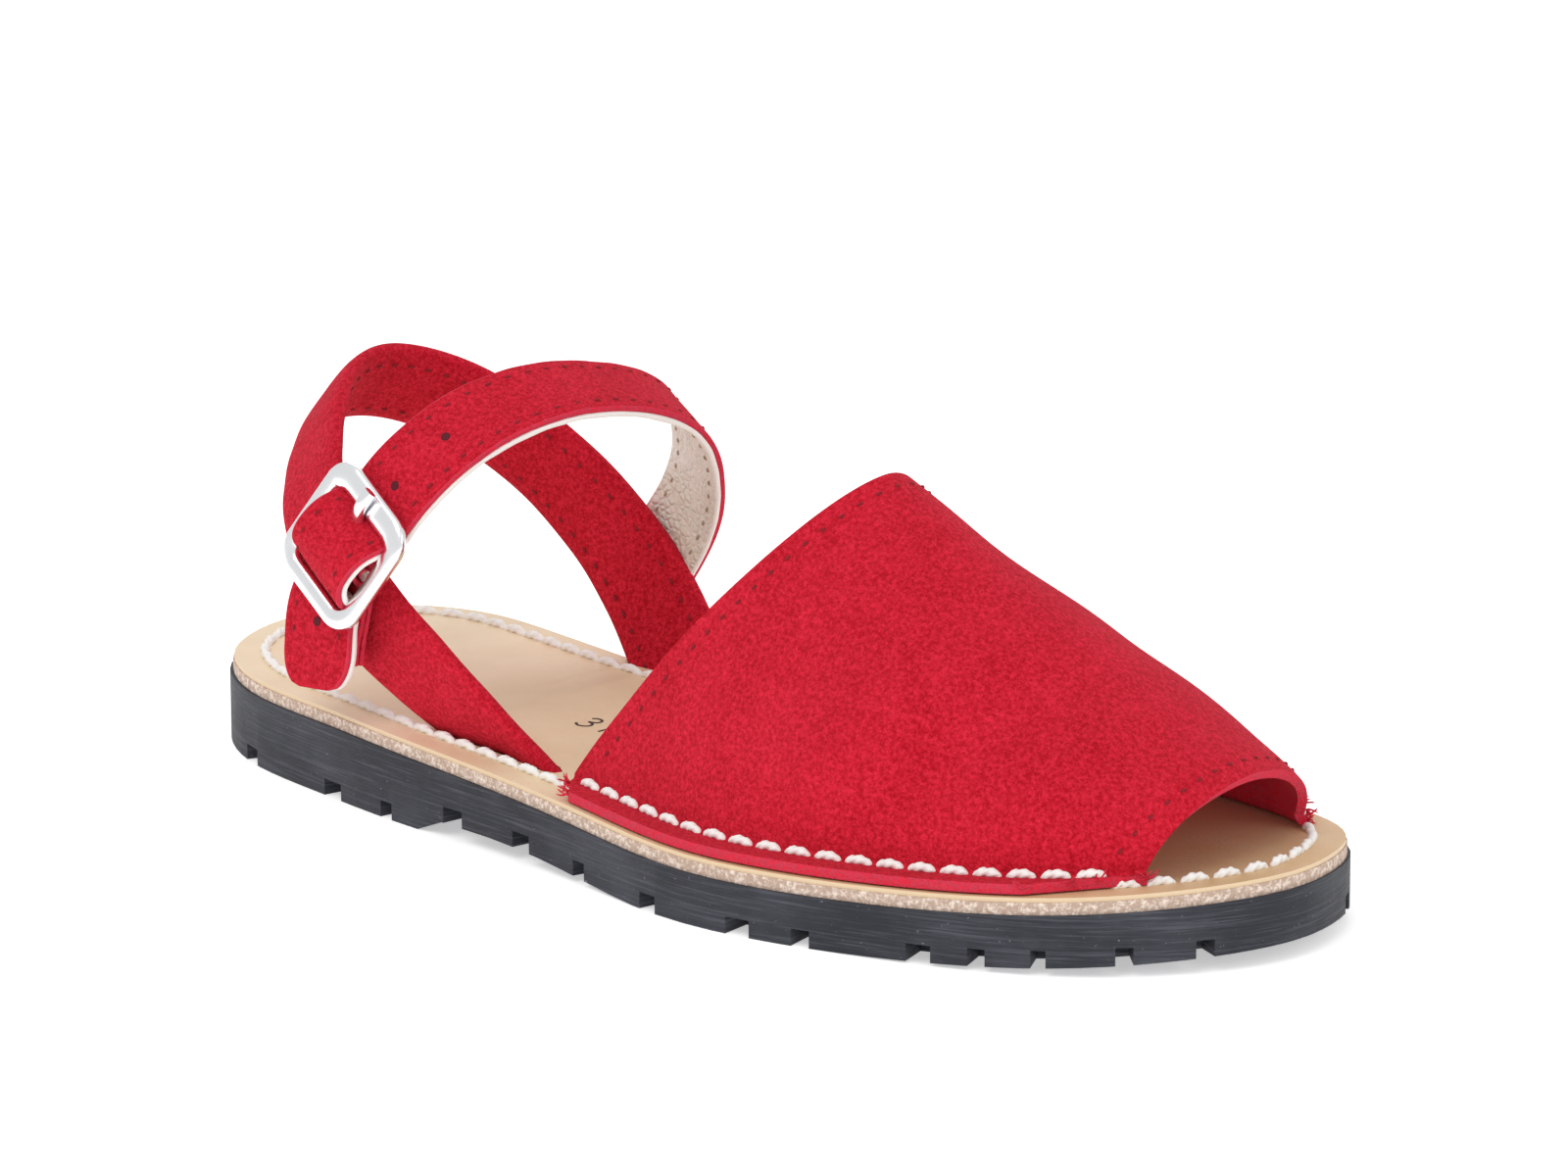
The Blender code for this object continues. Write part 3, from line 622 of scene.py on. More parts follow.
def vamp_surface():
    """Inner and outer face of the vamp as grids of points, with its normals."""
    table = np.array(VAMP_SECTIONS)
    places = np.linspace(0.0, len(table) - 1.0, VAMP_STEPS + 1)
    inner = np.array([vamp_section(row) for row in spline(np.arange(len(table)), table, places)])
    normal = np.cross(np.gradient(inner, axis=1), np.gradient(inner, axis=0))
    normal = unit(normal)
    middle = normal.shape[1] // 2
    if normal[normal.shape[0] // 2, middle, 2] < 0:
        normal = -normal
    run = np.linspace(0.0, 1.0, inner.shape[0])[:, None]
    girth = np.linspace(0.0, 1.0, inner.shape[1])[None, :]
    fade = smooth_step((girth - 0.10) / 0.08) * smooth_step((0.90 - girth) / 0.08)
    relief = ripple(inner, 0.030, 4) * 0.00025
    for at_run, at_girth, long, wide, depth in VAMP_CREASES:
        relief = relief + depth * np.exp(-((run - at_run) / long) ** 2 - ((girth - at_girth) / wide) ** 2)
    inner = inner + normal * (relief * fade)[..., None]
    return inner, inner + normal * sizes().vamp_wall, normal


def new_tree(name):
    made = bpy.data.materials.new(name)
    made.use_nodes = True
    return made, made.node_tree, made.node_tree.nodes["Principled BSDF"]


def node(tree, kind, sockets=None, **settings):
    made = tree.nodes.new(kind)
    for key, value in settings.items():
        setattr(made, key, value)
    for key, value in (sockets or {}).items():
        if isinstance(value, bpy.types.NodeSocket):
            tree.links.new(value, made.inputs[key])
        else:
            made.inputs[key].default_value = value
    return made


def ramp(tree, value, low, high):
    made = node(tree, "ShaderNodeMapRange", {0: value, 1: low, 2: high}, clamp=True)
    return made.outputs[0]


def blend(tree, factor, first, second):
    return node(tree, "ShaderNodeMix", {0: factor, 6: first, 7: second}, data_type="RGBA").outputs[2]


def effect(name, inputs, outputs, fill):
    """Shader node group, made once."""
    group = bpy.data.node_groups.get(name)
    if group is None:
        group = bpy.data.node_groups.new(name, "ShaderNodeTree")
        for label, kind in inputs:
            group.interface.new_socket(name=label, in_out="INPUT", socket_type=kind)
        for label, kind in outputs:
            group.interface.new_socket(name=label, in_out="OUTPUT", socket_type=kind)
        fill(group, group.nodes.new("NodeGroupInput"), group.nodes.new("NodeGroupOutput"))
    return group


def fill_nap(tree, given, result):
    place = node(tree, "ShaderNodeTexCoord").outputs["Object"]
    patches = node(tree, "ShaderNodeTexNoise", {"Vector": place, "Scale": 95.0, "Detail": 5.0, "Roughness": 0.62})
    fine = node(tree, "ShaderNodeTexNoise", {"Vector": place, "Scale": 1500.0, "Detail": 3.0, "Roughness": 0.75})
    fibre = node(tree, "ShaderNodeTexNoise", {"Vector": place, "Scale": 3800.0, "Detail": 2.0})
    worn = ramp(tree, patches.outputs[0], 0.38, 0.66)
    grain = ramp(tree, fine.outputs[0], 0.38, 0.66)
    mixed = node(tree, "ShaderNodeMath", {0: worn, 1: 0.16}, operation="MULTIPLY").outputs[0]
    lifted = node(tree, "ShaderNodeMath", {0: grain, 1: 0.84, 2: mixed}, operation="MULTIPLY_ADD").outputs[0]
    tone = blend(tree, lifted, given.outputs[0], given.outputs[1])
    height = node(tree, "ShaderNodeMath", {0: fine.outputs[0], 1: fibre.outputs[0]}, operation="ADD").outputs[0]
    bump = node(tree, "ShaderNodeBump", {"Height": height, "Strength": 0.90, "Distance": 0.00045})
    tree.links.new(tone, result.inputs[0])
    tree.links.new(bump.outputs[0], result.inputs[1])


def fill_grain(tree, given, result):
    place = node(tree, "ShaderNodeTexCoord").outputs["Object"]
    cells = node(tree, "ShaderNodeTexVoronoi", {"Vector": place, "Scale": given.outputs[1]}, feature="DISTANCE_TO_EDGE")
    noise = node(tree, "ShaderNodeTexNoise", {"Vector": place, "Scale": 60.0, "Detail": 8.0, "Roughness": 0.6})
    lines = ramp(tree, cells.outputs[0], 0.0, 0.30)
    height = node(tree, "ShaderNodeMath", {0: lines, 1: noise.outputs[0]}, operation="ADD").outputs[0]
    bump = node(tree, "ShaderNodeBump", {"Height": height, "Strength": given.outputs[0], "Distance": 0.00025})
    tree.links.new(ramp(tree, noise.outputs[0], 0.35, 0.70), result.inputs[0])
    tree.links.new(bump.outputs[0], result.inputs[1])


def nap_group():
    return effect("suede_nap", [("Brushed", "NodeSocketColor"), ("Raised", "NodeSocketColor")],
                  [("Colour", "NodeSocketColor"), ("Normal", "NodeSocketVector")], fill_nap)


def grain_group():
    return effect("leather_grain", [("Strength", "NodeSocketFloat"), ("Scale", "NodeSocketFloat")],
                  [("Mottle", "NodeSocketFloat"), ("Normal", "NodeSocketVector")], fill_grain)


def suede_finish(name, low, high, pale):
    """Suede: brushed patches, a painted sheen that makes the colour paler at a grazing angle, and a soft velvety edge
    light.
    """
    made, tree, shader = new_tree(name)
    nap = node(tree, "ShaderNodeGroup", {}, node_tree=nap_group())
    nap.inputs[0].default_value = hue(low)
    nap.inputs[1].default_value = hue(high)
    # Painted sheen: the base colour is blended towards the pale tone where the surface is seen at a grazing angle
    painted_sheen_facing = node(tree, "ShaderNodeLayerWeight", {"Blend": 0.30})
    edge = node(tree, "ShaderNodeMath", {0: painted_sheen_facing.outputs["Facing"], 1: 2.4}, operation="POWER").outputs[0]
    edge = node(tree, "ShaderNodeMath", {0: edge, 1: 0.22}, operation="MULTIPLY").outputs[0]
    tone = blend(tree, edge, nap.outputs[0], hue(pale))
    tree.links.new(tone, shader.inputs["Base Color"])
    tree.links.new(nap.outputs[1], shader.inputs["Normal"])
    shader.inputs["Roughness"].default_value = 0.95
    shader.inputs["Specular IOR Level"].default_value = 0.12
    shader.inputs["Sheen Weight"].default_value = 0.10
    shader.inputs["Sheen Roughness"].default_value = 0.45
    shader.inputs["Sheen Tint"].default_value = (1.0, 0.25, 0.32, 1.0)
    return made


def plain_finish(name, tone, rough, bump_scale=0.0, metallic=0.0):
    made, tree, shader = new_tree(name)
    shader.inputs["Base Color"].default_value = hue(tone)
    shader.inputs["Roughness"].default_value = rough
    shader.inputs["Metallic"].default_value = metallic
    if bump_scale > 0.0:
        place = node(tree, "ShaderNodeTexCoord").outputs["Object"]
        noise = node(tree, "ShaderNodeTexNoise", {"Vector": place, "Scale": bump_scale, "Detail": 4.0})
        bump = node(tree, "ShaderNodeBump", {"Height": noise.outputs[0], "Strength": 0.5, "Distance": 0.0002})
        tree.links.new(bump.outputs[0], shader.inputs["Normal"])
    return made


def side_mask(tree):
    """One on faces that look sideways, nought on the layer's upper and lower face."""
    normal = node(tree, "ShaderNodeNewGeometry").outputs["True Normal"]
    height = node(tree, "ShaderNodeSeparateXYZ", {0: normal}).outputs["Z"]
    size = node(tree, "ShaderNodeMath", {0: height}, operation="ABSOLUTE").outputs[0]
    return node(tree, "ShaderNodeMath", {0: size, 1: 0.75}, operation="LESS_THAN").outputs[0]


def insole_finish():
    made, tree, shader = new_tree("insole_leather")
    grain = node(tree, "ShaderNodeGroup", {}, node_tree=grain_group())
    grain.inputs[0].default_value = 0.12
    grain.inputs[1].default_value = 1100.0
    place = node(tree, "ShaderNodeTexCoord").outputs["Object"]
    along = node(tree, "ShaderNodeSeparateXYZ", {0: place}).outputs["X"]
    # Darker towards the toe: the face shifts from the heel colour to the darker colour along the sole
    shade = ramp(tree, along, -0.07, 0.05)
    shade = node(tree, "ShaderNodeMath", {0: shade, 1: 0.62}, operation="MULTIPLY").outputs[0]
    shade = node(tree, "ShaderNodeMath", {0: grain.outputs[0], 1: 0.22, 2: shade}, operation="MULTIPLY_ADD").outputs[0]
    face = blend(tree, shade, hue("leather"), hue("leather_dark"))
    tree.links.new(blend(tree, side_mask(tree), face, hue("leather_edge")), shader.inputs["Base Color"])
    tree.links.new(grain.outputs[1], shader.inputs["Normal"])
    shader.inputs["Roughness"].default_value = 0.48
    shader.inputs["Specular IOR Level"].default_value = 0.35
    return made


def lining_finish():
    made, tree, shader = new_tree("strap_lining")
    grain = node(tree, "ShaderNodeGroup", {}, node_tree=grain_group())
    grain.inputs[0].default_value = 1.0
    grain.inputs[1].default_value = 800.0
    tree.links.new(blend(tree, grain.outputs[0], hue("lining"), hue("lining_edge")), shader.inputs["Base Color"])
    tree.links.new(grain.outputs[1], shader.inputs["Normal"])
    shader.inputs["Roughness"].default_value = 0.55
    return made


def board_finish():
    made, tree, shader = new_tree("fibre_board")
    place = node(tree, "ShaderNodeTexCoord").outputs["Object"]
    noise = node(tree, "ShaderNodeTexNoise", {"Vector": place, "Scale": 1300.0, "Detail": 4.0, "Roughness": 0.7})
    speck = ramp(tree, noise.outputs[0], 0.46, 0.62)
    tree.links.new(blend(tree, speck, hue("board"), hue("speck")), shader.inputs["Base Color"])
    bump = node(tree, "ShaderNodeBump", {"Height": noise.outputs[0], "Strength": 0.7, "Distance": 0.0003})
    tree.links.new(bump.outputs[0], shader.inputs["Normal"])
    shader.inputs["Roughness"].default_value = 0.92
    return made


def rubber_finish():
    """Blue-black rubber: level scratches from grinding, pale dust in them and scattered specks."""
    made, tree, shader = new_tree("rubber")
    place = node(tree, "ShaderNodeTexCoord").outputs["Object"]
    stretched = node(tree, "ShaderNodeMapping", {"Vector": place, "Scale": (60.0, 60.0, 2600.0)}).outputs[0]
    lines = node(tree, "ShaderNodeTexNoise", {"Vector": stretched, "Scale": 1.0, "Detail": 4.0, "Roughness": 0.7})
    dots = node(tree, "ShaderNodeTexNoise", {"Vector": place, "Scale": 1700.0, "Detail": 2.0})
    cloud = node(tree, "ShaderNodeTexNoise", {"Vector": place, "Scale": 70.0, "Detail": 5.0})
    scratched = node(tree, "ShaderNodeMath", {0: ramp(tree, lines.outputs[0], 0.50, 0.78), 1: 0.35}, operation="MULTIPLY")
    specks = ramp(tree, dots.outputs[0], 0.71, 0.78)
    worn = ramp(tree, cloud.outputs[0], 0.42, 0.75)
    worn = node(tree, "ShaderNodeMath", {0: worn, 1: 0.14, 2: scratched.outputs[0]}, operation="MULTIPLY_ADD").outputs[0]
    dust = node(tree, "ShaderNodeMath", {0: specks, 1: worn}, operation="MAXIMUM").outputs[0]
    tree.links.new(blend(tree, dust, hue("rubber"), hue("dust")), shader.inputs["Base Color"])
    bump = node(tree, "ShaderNodeBump", {"Height": lines.outputs[0], "Strength": 0.80, "Distance": 0.0004})
    tree.links.new(bump.outputs[0], shader.inputs["Normal"])
    shader.inputs["Roughness"].default_value = 0.60
    return made


def finish(name):
    """A finish by name, made the first time that it is asked for."""
    found = bpy.data.materials.get("look_" + name)
    if found is None:
        found = FINISHES[name]()
        found.name = "look_" + name
    return found


FINISHES = {
    # The raw edge colour doubles as the tone of the painted sheen at grazing angles
    "suede": lambda: suede_finish("suede", "suede", "nap", "raw"),
    "raw": lambda: suede_finish("raw", "nap", "raw", "raw"),
    "insole": insole_finish,
    "lining": lining_finish,
    "lining_edge": lambda: plain_finish("lining_edge", "lining_edge", 0.8, 1800.0),
    "board": board_finish,
    "rubber": rubber_finish,
    "white": lambda: plain_finish("white", "thread_white", 0.8, 3500.0),
    "beige": lambda: plain_finish("beige", "thread_beige", 0.85, 3500.0),
    "ink": lambda: plain_finish("ink", "ink", 0.7),
    "red": lambda: plain_finish("red", "thread_red", 0.85, 3500.0),
    # Painted shade for the inside of the punched holes
    "hole": lambda: plain_finish("hole", "hole_shade", 0.95),
    "metal": lambda: plain_finish("metal", "metal", 0.22, 0.0, 1.0),
}


def layer(name, cad, look, bevel, grow=0.0):
    """Layer of the sole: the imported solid's shape with its corners eased, grown up and down to meet the others."""
    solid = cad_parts[cad]
    mesh = solid.data.copy()
    mesh.materials.clear()
    mesh.materials.append(finish(look))
    shape = bmesh.new()
    shape.from_mesh(mesh)
    bmesh.ops.remove_doubles(shape, verts=shape.verts, dist=0.000002)
    for vert in shape.verts:
        vert.co.z += np.sign(vert.normal.z) * grow
    bmesh.ops.dissolve_limit(shape, angle_limit=0.004, verts=shape.verts, edges=shape.edges)
    shape.to_mesh(mesh)
    shape.free()
    mesh.shade_smooth()
    mesh.set_sharp_from_angle(angle=0.6)
    made = bpy.data.objects.new(name, mesh)
    made.matrix_world = solid.matrix_world.copy()
    bpy.context.scene.collection.objects.link(made)
    ease = made.modifiers.new("Eased corners", "BEVEL")
    ease.width = bevel
    ease.segments = 2
    ease.limit_method = "ANGLE"
    ease.angle_limit = 0.6
    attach(made, "root")
    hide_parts(cad)
    return made


class SANDAL_OT_sole(bpy.types.Operator):
    """Outsole, insole board and insole leather"""
    bl_idname = "sandal.sole"
    bl_label = "Sole Layers"

    def execute(self, context):
        layer("rubber_sole", "outsole", "rubber", 0.00035)
        layer("board_layer", "insole_board", "board", 0.00010, sizes().gap)
        layer("insole_layer", "insole", "insole", 0.00020)
        return {"FINISHED"}


class SANDAL_OT_sole_stitches(bpy.types.Operator):
    """White stitches all round the insole, over the vamp's flange where there is one"""
    bl_idname = "sandal.sole_stitches"
    bl_label = "Sole Stitches"

    def execute(self, context):
        s = sizes()
        curve, normal = outline(s.stitch_inset)
        curve = np.vstack([curve, curve[:1]])
        run = chords(curve)
        spots = np.arange(0.0, run[-1] - s.stitch_pitch / 2, s.stitch_pitch)
        places, ways, ups, spans = [], [], [], []
        under = (s.stitch_inset - s.flange_rim) / (s.flange_inset - s.flange_rim)
        ends = [[row[5 + side] + (row[side] - row[5 + side]) * under for side in (0, 1)]
                for row in (VAMP_SECTIONS[0], VAMP_SECTIONS[-1])]
        for spot in spots:
            here = np.array([np.interp(spot, run, curve[:, k]) for k in range(2)])
            ahead = np.array([np.interp(spot + 0.001, run, curve[:, k]) for k in range(2)])
            side = 0 if here[1] < 0 else 1
            covered = along_to_x(ends[0][side]) < here[0] < along_to_x(ends[1][side])
            high = float(insole_top(here[0])) + (s.gap + s.vamp_wall if covered else 0.0)
            rise = float(insole_top(ahead[0]) - insole_top(here[0]))
            places.append(np.array([*here, high + s.stitch_radius * 0.35]))
            ways.append(unit(np.array([*(ahead - here), rise])))
            ups.append(np.array([0.0, 0.0, 1.0]))
            spans.append(s.stitch_pitch * (0.88 if here[0] > along_to_x(ends[0][side]) else 1.02))
        stitches("sole_stitches", places, ways, ups, spans, s.stitch_radius, finish("white"),
                 bow=0.0005, twist=0.20, sides=14, rings=21)
        return {"FINISHED"}


class SANDAL_OT_size_number(bpy.types.Operator):
    """Size number printed on the insole, read from the lateral side"""
    bl_idname = "sandal.size_number"
    bl_label = "Size Number"

    def execute(self, context):
        s = sizes()
        for name, start, strokes in (("size_three", -0.0275, FIGURE_THREE), ("size_one", -0.0232, FIGURE_ONE)):
            table = np.array(strokes)
            knots = chords(table)
            if len(table) > 3:
                table = spline(knots, table, np.linspace(0.0, knots[-1], 60))
            spots = table * s.figure_height + (start, -0.0072)
            points = [(x, y, float(insole_top(x)) + 0.00002) for x, y in spots]
            tube(name, points, 0.00007, finish("ink"), flat=3.4, sides=8)
        return {"FINISHED"}


class SANDAL_OT_vamp(bpy.types.Operator):
    """Vamp: one hollow wall of suede with raw edges, and its fine stitches along throat and toe opening"""
    bl_idname = "sandal.vamp"
    bl_label = "Vamp"

    def execute(self, context):
        inner, outer, normal = vamp_surface()
        rows, columns = inner.shape[:2]
        count = rows * columns
        faces = grid_faces(rows, columns, flip=True) + grid_faces(rows, columns, start=count)
        marks = [1] * ((rows - 1) * (columns - 1)) + [0] * ((rows - 1) * (columns - 1))
        rim = [(0, j) for j in range(columns)] + [(i, columns - 1) for i in range(1, rows)]
        rim += [(rows - 1, j) for j in range(columns - 2, -1, -1)] + [(i, 0) for i in range(rows - 2, 0, -1)]
        ids = [i * columns + j for i, j in rim]
        for a, b in zip(ids, ids[1:] + ids[:1]):
            faces.append((a, b, count + b, count + a))
            marks.append(2)
        verts = np.vstack([inner.reshape(-1, 3), outer.reshape(-1, 3)])
        looks = [finish("suede"), finish("raw"), finish("raw")]
        add_piece("suede_vamp", verts, faces, looks, "vamp", marks)
        self.edge_stitches(outer, normal)
        self.frayed_corners(outer, normal)
        return {"FINISHED"}

    def edge_stitches(self, outer, normal):
        s = sizes()
        places, ways, ups = [], [], []
        columns = outer.shape[1]
        for row in (5, outer.shape[0] - 6):
            path = outer[row, 16:columns - 16]
            run = chords(path)
            spots = np.arange(s.dash_pitch, run[-1] - s.dash_pitch, s.dash_pitch)
            here = np.column_stack([np.interp(spots, run, path[:, k]) for k in range(3)])
            ahead = np.column_stack([np.interp(spots + 0.0005, run, path[:, k]) for k in range(3)])
            up = np.column_stack([np.interp(spots, run, normal[row, 16:columns - 16, k]) for k in range(3)])
            places += list(here)
            ways += list(unit(ahead - here))
            ups += list(unit(up))
        stitches("vamp_stitches", places, ways, ups, [s.dash_pitch * 0.34] * len(places), 0.00025,
                 finish("red"), bow=0.00012)

    def frayed_corners(self, outer, normal):
        """Loose fibres where the flange is cut off beside throat and toe opening."""
        chance = np.random.default_rng(12)
        places, ways, ups, spans = [], [], [], []
        for row, away in ((0, -1), (outer.shape[0] - 1, 1)):
            for column, outside in ((0, 1), (outer.shape[1] - 1, -1)):
                run = unit(outer[row, column] - outer[row - away * 4, column])
                rim = unit(outer[row, column] - outer[row, column + outside * 4])
                for _ in range(16):
                    root = outer[row, column + outside * chance.integers(0, 7)] - normal[row, column] * 0.0006
                    way = unit(run * chance.uniform(0.3, 1.0) + rim * chance.uniform(-0.2, 0.9)
                               + normal[row, column] * chance.uniform(-0.1, 0.6))
                    span = chance.uniform(0.0012, 0.0030)
                    places.append(root + way * span * 0.4)
                    ways.append(way)
                    ups.append(unit(np.cross(way, chance.normal(size=3))))
                    spans.append(span)
        stitches("frayed_fibres", places, ways, ups, spans, 0.00014, finish("raw"), bow=0.0004)


class SANDAL_OT_heel_strap(bpy.types.Operator):
    """Heel strap: suede folded round a filler, with fine stitches along both edges"""
    bl_idname = "sandal.heel_strap"
    bl_label = "Heel Strap"

    def execute(self, context):
        s = sizes()
        frames = sweep_frames(strap_rows(HEEL_STRAP), RIBBON_STEPS)
        section = padded_section(s.heel_strap, s.heel_strap_thick)
        sweep("heel_strap", frames, section, [finish("suede")], "straps",
              relief=lambda points: ripple(points, 0.014, 9) * 0.00022)
        places, ways, ups = [], [], []
        for across in (-1, 1):
            out = -s.heel_strap_thick / 2 * 0.92
            row = row_of_dashes(frames, across * (s.heel_strap / 2 - 0.0030), out, s.dash_pitch, 0.006, 0.006)
            places += list(row[0])
            ways += list(row[1])
            ups += list(-row[2])
        stitches("heel_strap_stitches", places, ways, ups, [s.dash_pitch * 0.36] * len(places), 0.00024,
                 finish("red"), bow=0.00010)
        return {"FINISHED"}


class SANDAL_OT_ankle_strap(bpy.types.Operator):
    """Ankle strap: a suede layer on a pebbled lining, its stitches and its punched holes"""
    bl_idname = "sandal.ankle_strap"
    bl_label = "Ankle Strap"

    def execute(self, context):
        s = sizes()
        rows = np.vstack([tip_rows(), strap_rows(ANKLE_STRAP)])
        frames = sweep_frames(rows, RIBBON_STEPS)
        inside = np.clip(1 - frames[4] / (s.ankle_strap * s.tip_breadth), 0.0, 1.0)
        taper = s.tip_breadth + (1 - s.tip_breadth) * np.sqrt(1 - inside ** 2)
        half = s.ankle_strap_thick / 2
        top, marks = rounded_section(s.ankle_strap, half * 1.08, half * 0.5)
        looks = [finish("suede"), finish("raw"), finish("suede")]
        sweep("ankle_strap", frames, top, looks, "straps", marks, taper,
              relief=lambda points: ripple(points, 0.010, 3) * 0.00010)
        back, marks = rounded_section(s.ankle_strap + 0.0004, half, -half * 0.5)
        looks = [finish("lining"), finish("lining_edge"), finish("lining")]
        sweep("ankle_lining", frames, back, looks, "straps", marks, taper,
              relief=lambda points: ripple(points, 0.006, 5) * 0.00009)
        self.dashes(frames, 1, "ankle_stitches", "red", "red_suede")
        self.dashes(frames, -1, "lining_stitches", "beige", "insole_leather")
        self.holes(frames)
        return {"FINISHED"}

    def dashes(self, frames, side, name, look, slot):
        s = sizes()
        places, ways, ups = [], [], []
        for across in (-1, 1):
            out = side * (s.ankle_strap_thick / 2 - 0.00002)
            row = row_of_dashes(frames, across * (s.ankle_strap / 2 - 0.0021), out, s.dash_pitch, 0.007, 0.004)
            places += list(row[0])
            ways += list(row[1])
            ups += list(row[2] * side)
        stitches(name, places, ways, ups, [s.dash_pitch * 0.36] * len(places), 0.00024,
                 finish(look), bow=0.00010)

    def holes(self, frames):
        s = sizes()
        knots = chords(tip_rows()[:, :3])
        start = knots[BAR_ROW] + s.frame_height * 0.22
        centre, tangent, face, _, run = frames
        angles = np.arange(20) * 2 * np.pi / 20
        verts, faces = [], []
        # Each hole is a dark plug from the strap's face to its middle, coloured with the painted shade of a hole's
        # inside
        for count in (-2, -1, 1, 2):
            spot = start + count * s.hole_pitch
            place, way, up = (np.array([np.interp(spot, run, v[:, k]) for k in range(3)]) for v in (centre, tangent, face))
            side = unit(np.cross(up, way))
            ring = np.cos(angles)[:, None] * side + np.sin(angles)[:, None] * way
            first = len(verts)
            for out in (s.ankle_strap_thick / 2 + 0.00012, 0.0):
                verts += (place + ring * s.hole_radius + up * out).tolist()
            faces += grid_faces(2, 20, closed=True, start=first)
            faces.append(tuple(range(first, first + 20)))
            faces.append(tuple(range(first + 20, first + 40))[::-1])
        add_piece("punched_holes", verts, faces, [finish("hole")])


class SANDAL_OT_buckle(bpy.types.Operator):
    """Buckle frame with its centre bar, and its prong"""
    bl_idname = "sandal.buckle"
    bl_label = "Buckle"

    def execute(self, context):
        s = sizes()
        out = buckle_axes()[3]
        half_width = s.frame_width / 2 - s.frame_wire
        half_height = s.frame_height / 2 - s.frame_wire
        points = []
        for side, end, start in ((1, 1, 0), (-1, 1, 90), (-1, -1, 180), (1, -1, 270)):
            for angle in np.radians(start + np.linspace(0.0, 90.0, 30)):
                across = side * (half_width - s.frame_corner) + s.frame_corner * np.cos(angle)
                up = end * (half_height - s.frame_corner) + s.frame_corner * np.sin(angle)
                points.append(buckle_place(across, up, 0.0))
        points = np.array(points + points[:1])
        run = chords(points)
        even = np.linspace(0.0, run[-1], RING_STEPS, endpoint=False)
        points = np.column_stack([np.interp(even, run, points[:, k]) for k in range(3)])
        centre, _, way_up, _ = buckle_axes()
        above = (points - centre) @ way_up
        plate = smooth_step((above - half_height + s.frame_corner) / s.frame_corner)
        points -= (plate * s.plate_extra)[:, None] * way_up
        tube("buckle_ring", points, s.frame_wire * 0.85, finish("metal"), "buckle_frame",
             cyclic=True, flat=1.55 + plate * s.plate_extra / (s.frame_wire * 0.85), up=out, sides=24)
        bar = [buckle_place(a, 0.0, 0.0) for a in np.linspace(-half_width, half_width, 8)]
        tube("buckle_bar", bar, s.bar_wire, finish("metal"), "buckle_frame", up=out)
        table = np.array(PRONG_PATH) * (half_height, s.frame_wire + s.prong_wire + s.gap)
        knots = chords(table)
        path = [buckle_place(0.0, u, o) for u, o in spline(knots, table, np.linspace(0.0, knots[-1], 40))]
        tube("buckle_pin", path, s.prong_wire, finish("metal"), "buckle_prong", flat=1.3, up=out)
        return {"FINISHED"}


class SANDAL_OT_tab(bpy.types.Operator):
    """Folded tab that holds the buckle"""
    bl_idname = "sandal.tab"
    bl_label = "Buckle Tab"

    def execute(self, context):
        s = sizes()
        centre, way_across, way_up, way_out = buckle_axes()
        depth = strap_depth() + s.ankle_strap_thick / 2 + s.gap + s.tab_leather + s.tab_seam / 2
        path = np.array(TAB_PATH) * (s.tab_width, s.frame_height, -depth)
        runs = unit(np.gradient(path[:, 1:], axis=0))
        ways = np.column_stack([0 * runs[:, 0], -runs[:, 1], runs[:, 0]])
        layer_out = (s.tab_leather + s.tab_seam) / 2
        loop = s.bar_wire + s.gap + s.tab_leather / 2
        rows = [(*(place - way * layer_out), *-way) for place, way in zip(path[::-1], ways[::-1])]
        for angle in np.radians([-90, -45, 0, 45, 90]):
            way = np.sin(angle) * ways[0] - np.cos(angle) * np.array([0.0, *runs[0]])
            rows.append((*(way * loop), *way))
        rows += [(*(place + way * layer_out), *way) for place, way in zip(path, ways)]
        rows = np.array(rows)
        turned = np.array([way_across, -way_up, way_out])
        frames = sweep_frames(np.hstack([centre + rows[:, :3] @ turned, rows[:, 3:] @ turned]), RIBBON_STEPS // 2)
        section, marks = rounded_section(s.tab_width, s.tab_leather)
        looks = [finish("suede"), finish("raw"), finish("suede")]
        sweep("buckle_loop", frames, section, looks, "buckle_tab", marks,
              relief=lambda points: ripple(points, 0.004, 8) * 0.00006)
        return {"FINISHED"}


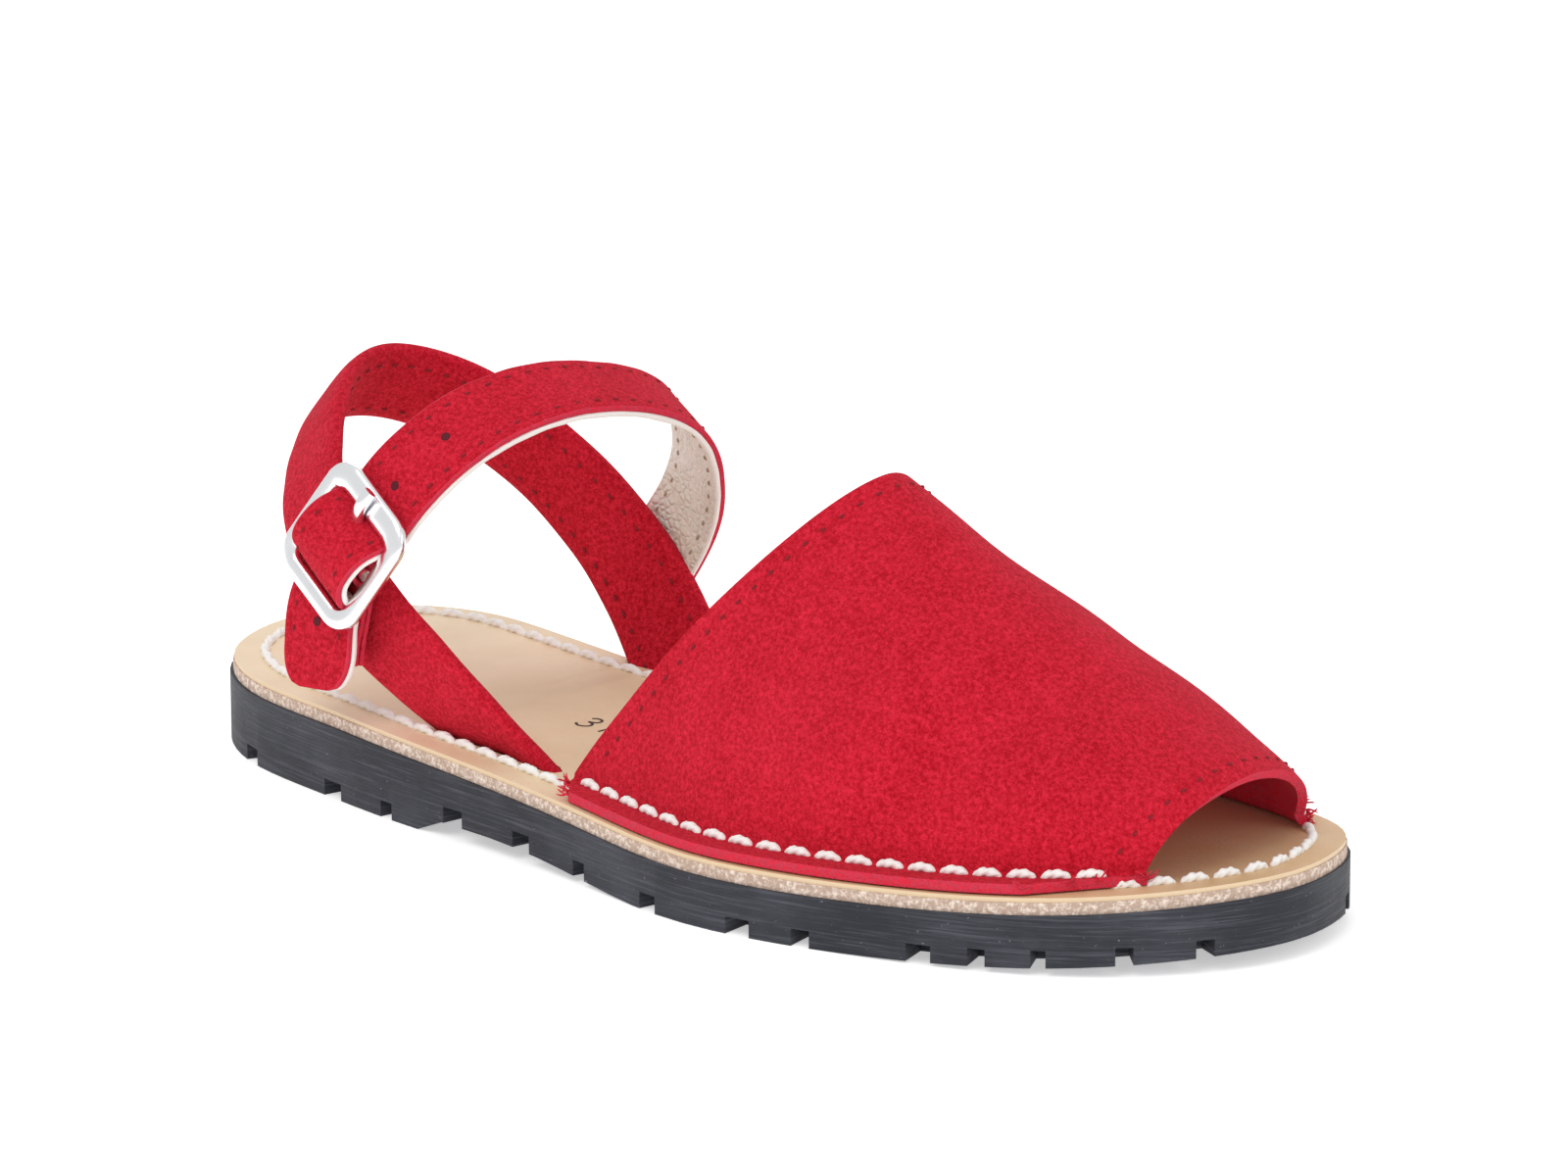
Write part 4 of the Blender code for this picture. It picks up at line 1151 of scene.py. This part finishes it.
class SANDAL_OT_stage(bpy.types.Operator):
    """Floor, soft light and camera"""
    bl_idname = "sandal.stage"
    bl_label = "Stage"

    def execute(self, context):
        scene = context.scene
        bpy.ops.mesh.primitive_plane_add(size=30.0)
        floor = context.object
        floor.name = "floor"
        made, tree, shader = new_tree("floor_paint")
        shader.inputs["Base Color"].default_value = (0.93, 0.93, 0.93, 1.0)
        shader.inputs["Roughness"].default_value = 0.8
        shader.inputs["Emission Color"].default_value = (1.0, 1.0, 1.0, 1.0)
        shader.inputs["Emission Strength"].default_value = 0.45
        floor.data.materials.append(made)
        world = bpy.data.worlds.new("studio")
        world.use_nodes = True
        world.node_tree.nodes["Background"].inputs["Color"].default_value = (1.0, 1.0, 1.0, 1.0)
        world.node_tree.nodes["Background"].inputs["Strength"].default_value = 0.72
        scene.world = world
        for name, place, size, power in (
                ("key", (0.1, -0.9, 1.3), 0.9, 6.0),
                ("front", (1.3, -0.2, 0.7), 0.6, 2.5),
                ("back", (-0.8, 0.9, 1.0), 0.8, 2.5)):
            lamp = bpy.data.lights.new(name, "AREA")
            lamp.energy = power
            lamp.size = size
            holder = bpy.data.objects.new(name, lamp)
            holder.location = place
            holder.rotation_euler = (-Vector(place)).to_track_quat("-Z", "Y").to_euler()
            scene.collection.objects.link(holder)
        self.camera(scene)
        return {"FINISHED"}

    def camera(self, scene):
        data = bpy.data.cameras.new("camera")
        data.lens = CAMERA_LENS
        data.sensor_width = 36.0
        data.clip_end = 50.0
        holder = bpy.data.objects.new("camera", data)
        azimuth, elevation = np.radians(CAMERA_AZIMUTH), np.radians(CAMERA_ELEVATION)
        back = Vector((np.sin(azimuth) * np.cos(elevation), -np.cos(azimuth) * np.cos(elevation), np.sin(elevation)))
        right = Vector((np.cos(azimuth), np.sin(azimuth), 0.0))
        up = back.cross(right)
        turn = Matrix((right, up, back)).transposed() @ Matrix.Rotation(np.radians(CAMERA_ROLL), 3, "Z")
        place = Vector(CAMERA_TARGET) + back * CAMERA_DISTANCE
        holder.matrix_world = Matrix.Translation(place) @ turn.to_4x4()
        scene.collection.objects.link(holder)
        scene.camera = holder
        scene.view_settings.view_transform = "Standard"


class SANDAL_PT_panel(bpy.types.Panel):
    """Sizes, colours and pieces of the sandal"""
    bl_label = "Avarca Sandal"
    bl_idname = "SANDAL_PT_panel"
    bl_space_type = "VIEW_3D"
    bl_region_type = "UI"
    bl_category = "Sandal"

    def draw(self, context):
        for operator in OPERATORS:
            self.layout.operator(operator.bl_idname)
        for group in (context.scene.sandal_sizes, context.scene.sandal_colours):
            box = self.layout.box()
            for key in group.bl_rna.properties.keys():
                if key not in ("rna_type", "name"):
                    box.prop(group, key)


OPERATORS = (
    SANDAL_OT_sole,
    SANDAL_OT_sole_stitches,
    SANDAL_OT_size_number,
    SANDAL_OT_vamp,
    SANDAL_OT_heel_strap,
    SANDAL_OT_ankle_strap,
    SANDAL_OT_buckle,
    SANDAL_OT_tab,
    SANDAL_OT_stage,
)


def register():
    for kind in (SandalSizes, SandalColours, *OPERATORS, SANDAL_PT_panel):
        bpy.utils.register_class(kind)
    bpy.types.Scene.sandal_sizes = bpy.props.PointerProperty(type=SandalSizes)
    bpy.types.Scene.sandal_colours = bpy.props.PointerProperty(type=SandalColours)


def unregister():
    del bpy.types.Scene.sandal_colours
    del bpy.types.Scene.sandal_sizes
    for kind in (SANDAL_PT_panel, *OPERATORS[::-1], SandalColours, SandalSizes):
        bpy.utils.unregister_class(kind)


def corners(box):
    return [[float(value) for value in corner] for corner in box]


def main():
    register()
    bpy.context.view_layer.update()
    bpy.ops.sandal.sole()
    bpy.ops.sandal.sole_stitches()
    bpy.ops.sandal.size_number()
    bpy.ops.sandal.vamp()
    bpy.ops.sandal.heel_strap()
    bpy.ops.sandal.ankle_strap()
    bpy.ops.sandal.buckle()
    bpy.ops.sandal.tab()
    bpy.ops.sandal.stage()


if __name__ == "__main__":
    main()
